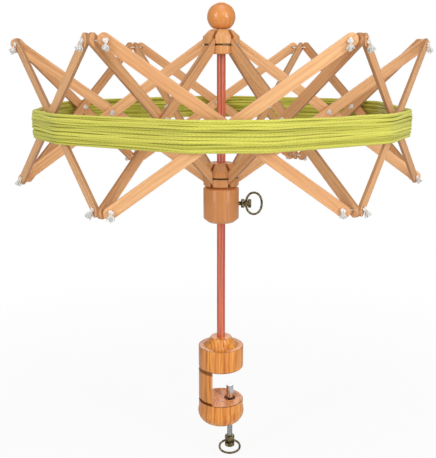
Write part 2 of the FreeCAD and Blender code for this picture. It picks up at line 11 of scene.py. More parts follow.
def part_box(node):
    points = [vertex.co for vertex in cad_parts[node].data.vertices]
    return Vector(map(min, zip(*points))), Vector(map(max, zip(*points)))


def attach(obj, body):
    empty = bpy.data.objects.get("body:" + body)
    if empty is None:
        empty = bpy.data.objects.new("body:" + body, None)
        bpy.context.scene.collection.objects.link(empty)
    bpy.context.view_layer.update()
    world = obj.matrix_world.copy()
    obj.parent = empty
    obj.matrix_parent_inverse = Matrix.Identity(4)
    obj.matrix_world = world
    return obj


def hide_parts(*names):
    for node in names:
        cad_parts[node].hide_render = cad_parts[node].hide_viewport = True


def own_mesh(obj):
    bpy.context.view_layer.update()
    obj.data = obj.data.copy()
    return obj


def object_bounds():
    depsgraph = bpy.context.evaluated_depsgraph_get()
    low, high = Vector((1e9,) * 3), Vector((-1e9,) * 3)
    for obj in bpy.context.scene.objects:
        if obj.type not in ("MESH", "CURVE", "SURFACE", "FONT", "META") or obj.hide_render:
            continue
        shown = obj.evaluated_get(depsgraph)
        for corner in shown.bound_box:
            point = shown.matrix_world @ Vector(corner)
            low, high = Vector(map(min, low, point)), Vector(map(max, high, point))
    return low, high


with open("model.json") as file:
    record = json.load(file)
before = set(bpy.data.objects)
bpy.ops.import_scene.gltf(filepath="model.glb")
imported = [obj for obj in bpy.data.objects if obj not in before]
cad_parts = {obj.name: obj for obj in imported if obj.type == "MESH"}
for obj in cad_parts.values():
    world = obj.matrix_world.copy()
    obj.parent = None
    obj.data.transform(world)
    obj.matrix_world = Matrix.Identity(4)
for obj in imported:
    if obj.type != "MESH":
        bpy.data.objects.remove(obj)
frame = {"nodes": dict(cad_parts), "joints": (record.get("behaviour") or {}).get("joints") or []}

CAD_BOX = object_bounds()

bl_info = {
    "name": "Umbrella Swift",
    "version": (1, 0, 0),
    "blender": (4, 5, 0),
    "location": "View3D > Sidebar > Swift",
    "description": "Wooden umbrella swift on a table clamp, with a skein round its waist",
    "category": "Object",
}

# Sizes in the pieces are in millimetres and are multiplied by MM where Blender takes them. PANEL_DEG is the
# turn from an arm to the middle of the panel beside it.
MM = 0.001
CIRCLE = 2 * math.pi
UP = Vector((0, 0, 1))
FORWARD = Vector((1, 0, 0))
SIDEWAYS = Vector((0, 1, 0))
ARMS = range(1, 7)
PANEL_DEG = 30
PANEL_TURN = math.radians(PANEL_DEG)
HINGES = {joint["name"]: Vector(joint["pos_m"]) for joint in frame["joints"] if "pos_m" in joint}

# The clamp, with heights from the underside of its upper jaw
CLAMP_R = 33.0
CLAMP_TOP = 34.0
JAW_GAP = 51.0
SPINE_X = -12.7
SCREW_X = 13.4
SCREW_HOLE_R = 4.75
SINK_R = 10.3
SCREW_R = 4.0
SCREW_PITCH = 1.25
KNOB_Z = -121.0

# The brass rings and the holes that they hang in
RING_LONG_R = 15.4
RING_SHORT_R = 11.2
RING_WIRE_R = 1.6
RING_HOLE_R = 2.3

# The post, the ball, the collar and the hubs
POST_R = 6.0
BALL_R = 19.0
BALL_FOOT_R = 11.0
BORE_R = 6.2
COLLAR_R = 25.0
COLLAR_SCREW_H = 26.0
COLLAR_KNOB_X = 35.0
HUB_R = 24.75
HUB_PIVOT_HEIGHT = 12.0
HUB_HEIGHT = 32.0
HUB_POCKET_R = 8.5
GROOVE_R = 21.8
GROOVE_HALF = 1.2
WIRE_RING_R = 23.2
WIRE_R = 0.8

# The slats and how they lie on each other
SLAT_LENGTH = (HINGES["lower_corner_1_hinge"] - HINGES["fold"]).length / MM
SLAT_TAIL = 9.0
SLAT_WIDTH = 14.0
SLAT_THICK = 3.6
SLAT_END_ROUND = 6.9
SLAT_HOLE_R = 1.5
LAYER = 3.9
PANEL_STANDOFF = 2.5
HINGE_SPREAD = 11.6
LOWER_HUB_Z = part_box("lower_hub")[0].z / MM + HUB_PIVOT_HEIGHT
UPPER_HUB_Z = HINGES["fold"].z / MM

# The string of the ties
STRING_R = 0.92
KNOT_SIZE = 0.74
KNOT_DEPTH = 0.7
KNOT_STEPS = 40
KNOT_SHARE = 1.35
TUFT_FIBRES = 54

# The skein's loop
CORNER_RADIUS = HINGES["upper_corner_1_hinge"].xy.length / MM
SKEIN_INNER = CORNER_RADIUS * math.cos(PANEL_TURN) + PANEL_STANDOFF + LAYER + SLAT_THICK / 2 + 3.5
SKEIN_OUTER = SKEIN_INNER + 5.0
SKEIN_HALF = 17.6
SKEIN_FLAT = 43.0
SKEIN_BEND = 42.0
SKEIN_Z = HINGES["arm_cross_1_hinge"].z / MM - 8.0
SKEIN_SECTIONS = 26
SKEIN_WAVES = (2, 3, 5, 8, 13, 21)
SKEIN_TONES = (0.0, 0.03, 0.08, 0.15, 0.28, 0.46)


def srgb(red, green, blue):
    """Linear colour of a colour that is given in the usual 0 to 255."""
    parts = [channel / 255 for channel in (red, green, blue)]
    linear = [c / 12.92 if c <= 0.04045 else ((c + 0.055) / 1.055) ** 2.4 for c in parts]
    return (*linear, 1.0)


def colour(name, description, *default):
    """Colour property with its default in 0 to 255."""
    return FloatVectorProperty(
        name=name, description=description, default=srgb(*default), size=4, min=0.0, max=1.0, subtype="COLOR"
    )


def power(name, description, default):
    """Power of a lamp as a property."""
    return FloatProperty(name=name, description=description, default=default, min=0.0, unit="POWER")


def metres(name, description, default, least, most):
    """Length as a property, in metres."""
    return FloatProperty(
        name=name, description=description, default=default, min=least, max=most, unit="LENGTH"
    )


class SwiftTimber(bpy.types.PropertyGroup):
    """Colours of the wooden pieces."""

    clamp: colour("Clamp", "Pale wood of the clamp", 253, 174, 80)
    clamp_deep: colour("Clamp rings", "Dark growth rings of the clamp", 182, 82, 18)
    ball: colour("Ball", "Pale wood of the ball", 236, 156, 82)
    ball_deep: colour("Ball rings", "Dark growth rings of the ball", 204, 118, 52)
    hub: colour("Hubs", "Pale wood of the hubs", 238, 174, 110)
    hub_deep: colour("Hub rings", "Dark growth rings of the hubs", 192, 118, 64)
    collar: colour("Collar", "Pale wood of the collar", 222, 150, 88)
    collar_deep: colour("Collar rings", "Dark growth rings of the collar", 176, 102, 54)
    slat: colour("Slats", "Pale wood of the slats", 241, 188, 134)
    slat_deep: colour("Slat figure", "Dark figure of the slats", 199, 131, 80)
    post: colour("Post", "Pale side of the stained post", 224, 114, 82)
    post_deep: colour("Post figure", "Dark figure of the stained post", 148, 58, 38)
    # colour of the dark grooves, rims and pores, and of the painted shade in recesses and on less-lit sides
    burnt_and_shade: colour("Burnt edges", "Scorched grooves and rims", 104, 50, 18)


class SwiftMetals(bpy.types.PropertyGroup):
    """Colours of the metal pieces."""

    brass: colour("Brass", "Rubbed high spots of the darkened brass", 186, 168, 124)
    patina: colour("Patina", "Dark skin of the brass", 62, 56, 42)
    steel: colour("Steel", "Clamp screw and small steel pieces", 206, 209, 214)
    chrome: colour("Chrome", "Swivelling tip of the clamp screw", 226, 228, 232)


class SwiftYarn(bpy.types.PropertyGroup):
    """The skein and the ties."""

    strands: IntProperty(name="Strands", description="Strands one above another", default=16, min=6, max=24)
    thickness: metres("Yarn", "Thickness of the yarn", 0.0025, 0.001, 0.004)
    wander: metres("Wander", "How far a strand strays", 0.0011, 0.0, 0.002)
    pale: colour("Yarn colour", "Lit side of the yarn", 230, 227, 106)
    # painted shade: the colour toward which the inner and middle strands and the core are darkened; outer
    # strands lean to it at random
    deep: colour("Yarn shade", "Yarn that lies deeper in the skein", 128, 128, 10)
    tie: colour("Ties", "Cotton string of the ties", 252, 252, 250)


class SwiftStudio(bpy.types.PropertyGroup):
    """Floor and light."""

    side_lamp: power("Side lamps", "Power of each tall side lamp", 10.0)
    key_lamp: power("Key lamp", "Power of the wide front lamp", 5.0)
    top_lamp: power("Top lamp", "Power of the soft top lamp", 6.0)
    back_lamp: power("Back lamp", "Power of the wide lamp behind", 6.0)
    room: FloatProperty(name="Room light", description="Light from all round", default=0.32, min=0.0, max=2.0)
    gap: metres("Floor gap", "Floor below the lowest ring", 0.003, 0.0, 0.05)


class Value:
    """What a node gives, as a value that Python's operators work on."""

    def __init__(self, finish, socket):
        self.finish = finish
        self.socket = socket

    def maths(self, operation, *others):
        inputs = dict(enumerate((self, *others)))
        return self.finish.node("ShaderNodeMath", {"operation": operation}, inputs)

    def __add__(self, other):
        return self.maths("ADD", other)

    def __sub__(self, other):
        return self.maths("SUBTRACT", other)

    def __rsub__(self, other):
        return self.finish.node("ShaderNodeMath", {"operation": "SUBTRACT"}, {0: other, 1: self})

    def __mul__(self, other):
        return self.maths("MULTIPLY", other)

    def __pow__(self, other):
        return self.maths("POWER", other)

    __radd__ = __add__
    __rmul__ = __mul__

    def wave(self, length=1.0):
        """A wave between 0 and 1 with a crest every length."""
        return (self * (CIRCLE / length)).maths("SINE") * 0.5 + 0.5

    def held(self):
        """The value kept between 0 and 1."""
        return self.finish.node("ShaderNodeClamp", {}, {"Value": self})

    def rise(self, low, high):
        """0 below low, 1 above high and a smooth step between."""
        return self.finish.node(
            "ShaderNodeMapRange",
            {"interpolation_type": "SMOOTHSTEP"},
            {"Value": self, "From Min": low, "From Max": high},
        )


class Finish:
    """A node tree that is emptied and filled again, node by node."""

    def __init__(self, owner):
        owner.use_nodes = True
        self.owner = owner
        self.tree = owner.node_tree
        self.tree.nodes.clear()

    def node(self, kind, settings, sockets, out=0):
        made = self.tree.nodes.new(kind)
        for name, setting in settings.items():
            setattr(made, name, setting)
        for name, value in sockets.items():
            socket = self.found(made.inputs, name)
            if isinstance(value, Value):
                self.tree.links.new(value.socket, socket)
            else:
                socket.default_value = value
        return Value(self, self.found(made.outputs, out)) if made.outputs else made

    @staticmethod
    def found(sockets, name):
        if isinstance(name, int):
            return sockets[name]
        return next((s for s in sockets if s.identifier == name), None) or sockets[name]

    def attribute(self, name, out="Fac"):
        return self.node("ShaderNodeAttribute", {"attribute_name": name}, {}, out)

    def place(self, kind="Object"):
        """Where a point lies: on the object, or on the piece's own UV map."""
        return self.node("ShaderNodeTexCoord", {}, {}, kind)

    def vector(self, operation, first, *second, out=0):
        inputs = dict(enumerate((first, *second)))
        return self.node("ShaderNodeVectorMath", {"operation": operation}, inputs, out)

    def scaled(self, vector, *factors):
        return self.vector("MULTIPLY", vector, factors)

    def noise(self, vector, detail, scale=1.0):
        sockets = {"Vector": vector, "Scale": scale, "Detail": detail}
        return self.node("ShaderNodeTexNoise", {}, sockets, "Fac")

    def plies(self, turns, count, shift=None):
        """Plies wound round a cord, from its UV map: X runs along the cord and Y round it."""
        lay = self.place("UV")
        along, across = [self.node("ShaderNodeSeparateXYZ", {}, {"Vector": lay}, axis) for axis in "XY"]
        winding = along * turns + across * count
        return (winding if shift is None else winding + shift).wave()

    def mixed(self, first, second, share):
        return self.node(
            "ShaderNodeMix",
            {"data_type": "RGBA"},
            {"Factor_Float": share, "A_Color": first, "B_Color": second},
            "Result_Color",
        )

    def surface(self, relief, depth, strength, **sockets):
        """Ends a material in one shader with a bump. Sockets are named with _ for a space."""
        values = {name.replace("_", " "): value for name, value in sockets.items()}
        values["Normal"] = self.node(
            "ShaderNodeBump", {}, {"Height": relief, "Distance": depth, "Strength": strength}
        )
        shader = self.node("ShaderNodeBsdfPrincipled", {}, values)
        self.node("ShaderNodeOutputMaterial", {}, {"Surface": shader})
        return self.owner


def new_finish(name):
    return Finish(bpy.data.materials.new(f"swift_{name}"))


def timber(name, pale, deep, ring, figure, streak, gloss, varnish):
    """Varnished wood: growth rings round a pith beside the piece, fibres, pores, a tone that darkens it at
    random or as painted shade, and darkened grooves, rims and recesses, partly painted shade.
    """
    burnt_and_shade = bpy.context.scene.swift_timber.burnt_and_shade
    finish = new_finish(name)
    grain = finish.attribute("grain", "Vector")
    drift = finish.noise(finish.scaled(grain, 9, 70, 70), 2.0)
    cloud = finish.noise(finish.scaled(grain, 3, 22, 22), 1.0)
    beside_pith = finish.vector("ADD", finish.scaled(grain, 0.03, 1, 1), (0, 0.041, 0.023))
    spread = finish.vector("LENGTH", beside_pith, out="Value")
    late = (spread + drift * figure).wave(ring * MM) ** 2.2
    fibre = finish.noise(finish.scaled(grain, 38, 950, 950), 3.0)
    band = finish.noise(finish.scaled(grain, 5, 230, 230), 2.0).rise(0.3, 0.72)
    pores = finish.noise(finish.scaled(grain, 140, 2400, 2400), 1.0).rise(0.66, 0.76)
    share = ((late + band) * streak + fibre * 0.4 + cloud * 0.4 - 0.38).held()
    shade = finish.mixed(pale, deep, share)
    # tone darkens a piece toward its deep colour: at random on the slats, as painted shade on the lower hub
    shade = finish.mixed(shade, deep, (finish.attribute("tone_and_shade") * 0.9).held())
    shade = finish.mixed(shade, burnt_and_shade, pores * 0.18)
    # the burn attribute darkens grooves and rims, and paints shade into recesses and onto less-lit sides
    scorch_and_shade = (finish.attribute("burn_and_shade") * (fibre * 0.5 + 0.7)).held()
    shade = finish.mixed(shade, burnt_and_shade, scorch_and_shade)
    rough = fibre * 0.16 + pores * 0.2 + gloss - 0.08
    relief = fibre * 0.5 + late * 0.25 - pores * 0.4
    return finish.surface(
        relief, 0.00006, 0.12,
        Base_Color=shade, Roughness=rough, Coat_Weight=varnish, Coat_Roughness=0.22, Specular_IOR_Level=0.3,
    )


def wood(name):
    """One of the woods: its colours, ring width, drift of the rings in metres, streaks, gloss and varnish."""
    colours = bpy.context.scene.swift_timber
    woods = {
        "clamp_wood": (colours.clamp, colours.clamp_deep, 5.6, 0.02, 0.42, 0.34, 0.45),
        "ball_wood": (colours.ball, colours.ball_deep, 6.5, 0.008, 0.12, 0.3, 0.8),
        "hub_wood": (colours.hub, colours.hub_deep, 4.5, 0.01, 0.22, 0.4, 0.3),
        "collar_wood": (colours.collar, colours.collar_deep, 5.5, 0.01, 0.18, 0.38, 0.4),
        "slat_wood": (colours.slat, colours.slat_deep, 5.0, 0.016, 0.24, 0.48, 0.1),
        "shaft_wood": (colours.post, colours.post_deep, 4.0, 0.008, 0.5, 0.24, 1.0),
    }
    return timber(name, *woods[name])


def antique_brass(name):
    """Darkened brass, rubbed bright in patches."""
    colours = bpy.context.scene.swift_metals
    finish = new_finish(name)
    place = finish.place()
    patch = finish.noise(place, 3.0, 260.0)
    speck = finish.noise(place, 2.0, 1900.0)
    rubbed = (patch * 0.8 + speck * 0.5 - 0.3).rise(0.2, 0.62)
    shade = finish.mixed(colours.patina, colours.brass, rubbed)
    return finish.surface(
        speck, 0.00005, 0.2, Base_Color=shade, Metallic=1.0, Roughness=0.42 - rubbed * 0.16
    )


def brushed(name, shade, dull, rough):
    """Turned metal with fine marks round it and a few dull patches."""
    finish = new_finish(name)
    place = finish.place()
    marks = finish.noise(finish.scaled(place, 160, 160, 5200), 2.0)
    patch = finish.noise(place, 2.0, 130.0)
    tint = finish.mixed(shade, dull, (patch * 0.6 + marks * 0.5 - 0.3).held())
    return finish.surface(
        marks, 0.00003, 0.2, Base_Color=tint, Metallic=1.0, Roughness=marks * 0.18 + rough
    )


def steel(name):
    return brushed(name, bpy.context.scene.swift_metals.steel, srgb(96, 98, 102), 0.2)


def chrome(name):
    return brushed(name, bpy.context.scene.swift_metals.chrome, srgb(150, 152, 158), 0.06)


def cotton_string(name):
    """Twisted cotton, with its plies round the string."""
    finish = new_finish(name)
    plies = finish.plies(13.0, 2.0)
    fuzz = finish.noise(finish.place(), 3.0, 2600.0)
    pale = bpy.context.scene.swift_yarn.tie
    # painted shade: the grey darkens the grooves between the plies, and the fuzz mottles it at random
    shade = finish.mixed(srgb(214, 212, 206), pale, (plies * 0.6 + fuzz * 0.6).held())
    return finish.surface(
        plies * 0.8 + fuzz * 0.6, 0.0004, 0.6,
        Base_Color=shade, Roughness=0.85, Sheen_Weight=0.25, Specular_IOR_Level=0.2,
    )


def yarn(name):
    """Soft two-ply yarn: plies wind round each strand; deep strands are darker as painted shade, and the
    grooves between the plies too.
    """
    colours = bpy.context.scene.swift_yarn
    finish = new_finish(name)
    tone_and_shade = finish.attribute("tone_and_shade")
    plies = finish.plies(26.0, 2.0, tone_and_shade * 23.0)
    fuzz = finish.noise(finish.place(), 3.0, 900.0)
    # painted shade: tone darkens the deep strands and the core, and 1 - plies the ply grooves; tone on the
    # outer strands and fuzz vary it at random
    share = (tone_and_shade + (1 - plies) * 0.14 + fuzz * 0.3 - 0.14).held()
    shade = finish.mixed(colours.pale, colours.deep, share)
    return finish.surface(
        plies * 0.5 + fuzz * 0.5, 0.0003, 0.3,
        Base_Color=shade, Roughness=0.9, Sheen_Weight=0.2, Specular_IOR_Level=0.15,
    )


FINISHES = {finish.__name__: finish for finish in (antique_brass, steel, chrome, cotton_string, yarn)}


def finish_named(name):
    return bpy.data.materials.get(f"swift_{name}") or FINISHES.get(name, wood)(name)


def alone(piece):
    """Selects one piece and nothing else."""
    bpy.ops.object.select_all(action="DESELECT")
    piece.select_set(True)
    bpy.context.view_layer.objects.active = piece


def added(name, primitive, **settings):
    """Adds a primitive and brings its object's origin to the frame's, with its place in its mesh."""
    bpy.ops.object.select_all(action="DESELECT")
    primitive(**settings)
    piece = bpy.context.active_object
    piece.name = name
    piece.data.name = name
    bpy.ops.object.transform_apply(location=True, rotation=True, scale=True)
    return piece


def block(name, size, middle=(0, 0, 0)):
    """Box of a size, centred on a point."""
    place, scale = ([value * MM for value in values] for values in (middle, size))
    return added(name, bpy.ops.mesh.primitive_cube_add, size=1, location=place, scale=scale)


def drill(radius, depth, middle, direction=UP, steps=48):
    """Round cutter along a direction, centred on a point."""
    turn = UP.rotation_difference(Vector(direction)).to_euler()
    return added(
        "drill", bpy.ops.mesh.primitive_cylinder_add,
        vertices=steps, radius=radius * MM, depth=depth * MM, location=Vector(middle) * MM, rotation=turn,
    )


def edit_all():
    """Goes into edit mode with the whole mesh selected."""
    bpy.ops.object.mode_set(mode="EDIT")
    bpy.ops.mesh.select_all(action="SELECT")


def close_up(weld=False, sides=0):
    """Leaves edit mode: doubled points welded and holes filled where asked, and faces turned outwards."""
    bpy.ops.mesh.select_all(action="SELECT")
    if weld:
        bpy.ops.mesh.remove_doubles(threshold=0.001 * MM)
    if sides is not None:
        bpy.ops.mesh.fill_holes(sides=sides)
    bpy.ops.mesh.normals_make_consistent(inside=False)
    bpy.ops.object.mode_set(mode="OBJECT")


def smooth(piece, angle=32):
    alone(piece)
    bpy.ops.object.shade_smooth_by_angle(angle=math.radians(angle))
    return piece


def arc_on(rings, middle, end, parts):
    """Carries (radius, height) rings on along the arc through the last, a middle point and an end."""
    (ax, ay), (bx, by), (cx, cy) = rings[-1], middle, end
    turn = 2 * (ax * (by - cy) + bx * (cy - ay) + cx * (ay - by))
    a, b, c = ax ** 2 + ay ** 2, bx ** 2 + by ** 2, cx ** 2 + cy ** 2
    ox = (a * (by - cy) + b * (cy - ay) + c * (ay - by)) / turn
    oy = (a * (cx - bx) + b * (ax - cx) + c * (bx - ax)) / turn
    radius = math.hypot(ax - ox, ay - oy)
    first = math.atan2(ay - oy, ax - ox)
    last = math.atan2(cy - oy, cx - ox)
    sweep = (last - first + math.pi) % CIRCLE - math.pi
    for part in range(1, parts + 1):
        angle = first + sweep * part / parts
        rings.append((ox + radius * math.cos(angle), oy + radius * math.sin(angle)))


def turned(name, rings, steps, bored=False):
    """Piece turned about Z from (radius, height) rings. A bored one closes through its bore."""
    here, height = rings[0]
    foot = (0, 0, height * MM)
    piece = added(name, bpy.ops.mesh.primitive_circle_add, vertices=steps, radius=here * MM, location=foot)
    edit_all()
    for radius, level in rings[1:] + (rings[:1] if bored else []):
        bpy.ops.mesh.extrude_region_move(TRANSFORM_OT_translate={"value": (0, 0, (level - height) * MM)})
        bpy.ops.transform.resize(value=(radius / here, radius / here, 1), center_override=(0, 0, 0))
        here, height = radius, level
    close_up(weld=bored, sides=None if bored else 0)
    return smooth(piece)


def modified(piece, kind, **settings):
    """Gives a piece a modifier with its settings and applies it."""
    alone(piece)
    change = piece.modifiers.new(kind, kind)
    for name, setting in settings.items():
        setattr(change, name, setting)
    bpy.ops.object.modifier_apply(modifier=change.name)


def cut(piece, *cutters):
    """Takes the cutters out of the piece."""
    for cutter in cutters:
        modified(piece, "BOOLEAN", operation="DIFFERENCE", solver="EXACT", object=cutter)
        bpy.data.objects.remove(cutter)
    return piece


def eased(piece, width, angle=40):
    """Rounds every edge that is sharper than the angle."""
    modified(
        piece, "BEVEL", width=width * MM, segments=2, use_clamp_overlap=True,
        limit_method="ANGLE", angle_limit=math.radians(angle),
    )
    return smooth(piece)


def written(piece, name, values, kind="FLOAT", domain="POINT"):
    """Writes numbers or vectors on a mesh as an attribute: one for all, or one for each point or face."""
    layers = piece.data.attributes
    layer = layers.get(name) or layers.new(name, kind, domain)
    shape, field = ((len(layer.data), 3), "vector") if kind == "FLOAT_VECTOR" else (len(layer.data), "value")
    layer.data.foreach_set(field, np.full(shape, values, np.float32).ravel())
    return piece


def grained(piece, along, across, shift=0.0, tone_and_shade=0.0):
    """Writes the timber's own coordinates on every point, with X along the fibres, and how dark it is, at
    random or as painted shade.
    """
    places = np.zeros(len(piece.data.vertices) * 3, np.float32)
    piece.data.vertices.foreach_get("co", places)
    axes = np.array([along, across, along.cross(across)])
    local = places.reshape(-1, 3) @ axes.T + shift * np.array([1.0, 0.37, 0.21])
    written(piece, "grain", local, "FLOAT_VECTOR")
    return written(piece, "tone_and_shade", tone_and_shade)


def scorched_and_shaded(piece, rule):
    """Darkens faces, for dark grooves and rims and for painted shade in recesses and on less-lit sides: rule
    gives 0 to 1 from a face's centre in millimetres and its normal.
    """
    depths = [rule(face.center / MM, face.normal) for face in piece.data.polygons]
    return written(piece, "burn_and_shade", depths, domain="FACE")


def moved(piece, start, x_axis=FORWARD, z_axis=UP):
    """Takes a piece from the frame's origin to a place in metres and two directions."""
    y_axis = z_axis.cross(x_axis)
    place = Matrix((x_axis, y_axis, z_axis)).transposed().to_4x4()
    place.translation = start
    piece.matrix_world = place
    alone(piece)
    bpy.ops.object.transform_apply(location=True, rotation=True, scale=True)
    return piece


def dressed(piece, finish, body, node):
    """Gives a piece its finish, its body and the solid that it stands for."""
    piece.data.materials.clear()
    piece.data.materials.append(finish_named(finish))
    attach(piece, body)
    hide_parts(node)
    return piece


def joined(name, *pieces):
    """Several pieces as one."""
    alone(pieces[0])
    for piece in pieces:
        piece.select_set(True)
    bpy.ops.object.join()
    pieces[0].name = name
    return pieces[0]


def even(points):
    """Open path of one thickness."""
    return points, [1.0] * len(points), False


def cords(name, paths, radius, sides=8, kind="POLY", fill=True):
    """Round cords along paths. Each path is (points in metres, share of the radius at each point, closed)."""
    bpy.ops.object.select_all(action="DESELECT")
    lines = bpy.data.curves.new(name, "CURVE")
    lines.dimensions = "3D"
    lines.bevel_depth = radius * MM
    lines.bevel_resolution = (sides - 4) // 2
    lines.resolution_u = 5
    for points, shares, closed in paths:
        line = lines.splines.new("POLY" if closed else kind)
        line.points.add(len(points) - 1)
        for knot, point, share in zip(line.points, points, shares):
            knot.co = (*point, 1)
            knot.radius = share
        line.use_cyclic_u = closed
        if kind == "NURBS" and not closed:
            line.order_u = 3
            line.use_endpoint_u = True
    piece = bpy.data.objects.new(name, lines)
    bpy.context.scene.collection.objects.link(piece)
    alone(piece)
    bpy.ops.object.convert(target="MESH")
    piece = bpy.context.active_object
    if fill:
        edit_all()
        close_up()
    return smooth(piece, 60)


def turned_level(direction, degrees):
    return Matrix.Rotation(math.radians(degrees), 3, "Z") @ direction


def corner_out(arm):
    """Level vector from the post to an arm's corner, in metres."""
    corner = HINGES[f"upper_corner_{arm}_hinge"]
    return Vector((corner.x, corner.y, 0))


def outward(arm):
    return corner_out(arm).normalized()


def panel_out(arm):
    """Level direction from the post to the middle of the panel after an arm."""
    return turned_level(outward(arm), PANEL_DEG)


def beside_corner(arm, forward, z, sideways, outwards):
    """Point beside a corner, along a panel and out from its plane, and the panel's outward direction."""
    side = 1 if forward else -1
    normal = turned_level(outward(arm), side * PANEL_DEG)
    along = turned_level(normal, side * 90)
    return corner_out(arm) + UP * z + (along * sideways + normal * outwards) * MM, normal


class SWIFT_OT_clamp(bpy.types.Operator):
    """Turned clamp body with its jaw, grooves and countersunk screw hole"""

    bl_idname = "swift.clamp"
    bl_label = "Clamp body"

    def execute(self, context):
        rings = [(19.2, -88), (20, -87.8)]
        arc_on(rings, (30.6, -80.6), (CLAMP_R, -63), 12)
        rings += [(CLAMP_R, -57), (CLAMP_R, -51.8), (32.3, -JAW_GAP), (30, -JAW_GAP), (CLAMP_R, -47)]
        rings += [(CLAMP_R, -25), (CLAMP_R, -4), (30.4, -0.4), (30, 0)]
        arc_on(rings, (32.1, 0.9), (CLAMP_R, 3), 5)
        rings += [(CLAMP_R, 18), (CLAMP_R, 33)]
        arc_on(rings, (32.7, 33.7), (32, CLAMP_TOP), 3)
        rings += [(27, CLAMP_TOP), (26, CLAMP_TOP)]
        arc_on(rings, (18.65, 40.5), (15.5, 46.4), 10)
        rings.append((14.9, 47))
        body = turned("turned_clamp", rings, 120)
        jaw = block("jaw", (2 * CLAMP_R, 120, JAW_GAP), (SPINE_X + CLAMP_R, 0, -JAW_GAP / 2))
        sink = added(
            "sink", bpy.ops.mesh.primitive_cone_add, vertices=64, radius1=SCREW_HOLE_R * MM,
            radius2=SINK_R * MM, depth=4.7 * MM, location=(SCREW_X * MM, 0, -52.15 * MM),
        )
        hole = drill(SCREW_HOLE_R, 60, (SCREW_X, 0, -70))
        seat = drill(6.52, 17, (SCREW_X, 0, -80))
        cut(body, jaw, sink, hole, seat)
        eased(body, 0.55)
        grained(body, UP, FORWARD, 0.013)
        scorched_and_shaded(body, self.burn_and_shade)
        dressed(body, "clamp_wood", "post", "clamp_block")
        hidden = {"clamp_nut": "steel", "collar_nut": "antique_brass", "hub_stop_ring": "steel"}
        for node, finish in hidden.items():
            for slot in frame["nodes"][node].material_slots:
                slot.material = finish_named(finish)
        return {"FINISHED"}

    @staticmethod
    def burn_and_shade(centre, normal):
        """Dark grooves and rims, painted shade in the countersink, and painted shade that makes the back of
        the clamp darker than the front.
        """
        radius = math.hypot(centre.x, centre.y)
        from_jaw = min(abs(centre.z + JAW_GAP), abs(centre.z))
        lower_groove = radius > 29.6 and -51.2 < centre.z < -47.4
        upper_groove = radius > 29.6 and -3.2 < centre.z < 1.7
        jaw_rim = radius > 5 and abs(normal.z) < 0.96 and from_jaw < 0.75
        # painted shade in the countersink under the screw's tip
        sink = math.hypot(centre.x - SCREW_X, centre.y) < 9.3 and -56 < centre.z < -51.05
        top_rim = radius > 31.4 and abs(centre.z - CLAMP_TOP) < 0.5
        marks = ((lower_groove, 0.78), (upper_groove, 0.75), (jaw_rim, 0.8), (sink, 0.75), (top_rim, 0.45))
        # painted shade: the clamp darkens towards its back on the left, where less light falls
        spine_shade = max(0.0, min(0.2, -(centre.x + 6) / 110))
        return next((depth for marked, depth in marks if marked), spine_shade)


def add_spool_collar(rings, radius, low, high):
    """Carries a knob's rings on over one collar with rounded edges."""
    edge, bulge = 1.2, 0.36
    rings.append((radius - edge, low))
    arc_on(rings, (radius - bulge, low + bulge), (radius, low + edge), 4)
    rings.append((radius, high - edge))
    arc_on(rings, (radius - bulge, high - bulge), (radius - edge, high), 4)


def spool_rings(radius, above, below):
    """Rings of a knob of two collars with a waist between."""
    rings = []
    add_spool_collar(rings, radius, -below, -3.0)
    rings += [(4.6, -3.0), (4.0, -2.6), (4.0, 1.5), (4.6, 1.9)]
    add_spool_collar(rings, radius, 1.9, above)
    return rings


def oval_ring(name):
    """Wire ring that hangs from the origin, long way along X."""
    bpy.ops.object.select_all(action="DESELECT")
    bpy.ops.curve.primitive_bezier_circle_add(radius=1.0)
    ring = bpy.context.active_object
    ring.name = name
    bpy.ops.object.mode_set(mode="EDIT")
    bpy.ops.curve.select_all(action="SELECT")
    bpy.ops.transform.resize(value=(RING_LONG_R * MM, RING_SHORT_R * MM, 1), center_override=(0, 0, 0))
    bpy.ops.object.mode_set(mode="OBJECT")
    ring.data.dimensions = "3D"
    ring.data.bevel_depth = RING_WIRE_R * MM
    ring.data.bevel_resolution = 5
    ring.data.resolution_u = 22
    bpy.ops.object.convert(target="MESH")
    ring = bpy.context.active_object
    moved(ring, UP * (-RING_SHORT_R * MM), z_axis=-SIDEWAYS)
    return smooth(ring, 60)


def pierced_knob(name, rings, width, angle):
    """Turned knob with the hole for its ring across it."""
    knob = turned(name, rings, 80)
    cut(knob, drill(RING_HOLE_R, 40, (0, 0, 0), FORWARD))
    return eased(knob, width, angle)


def thread(name, radius, foot, top, pitch):
    """Screw rod: a core and one ridge wound round it."""
    root, end, ridge_r = radius - 0.5, radius - 1.1, 0.62
    rings = [(end, foot), (root, foot + 0.6), (root, (foot + top) / 2), (root, top - 0.6), (end, top)]
    core = turned("core", rings, 40)
    ridge = added(
        "ridge", bpy.ops.mesh.primitive_circle_add, vertices=3, radius=ridge_r * MM,
        location=((radius - ridge_r) * MM, 0, (foot + 1.2) * MM), rotation=(math.pi / 2, math.pi / 2, 0),
    )
    turns, steps = int((top - foot - 2.4) / pitch), 20
    modified(
        ridge, "SCREW", axis="Z", screw_offset=pitch * MM, iterations=turns, steps=steps, render_steps=steps
    )
    edit_all()
    close_up(sides=4)
    return smooth(joined(name, core, ridge), 50)


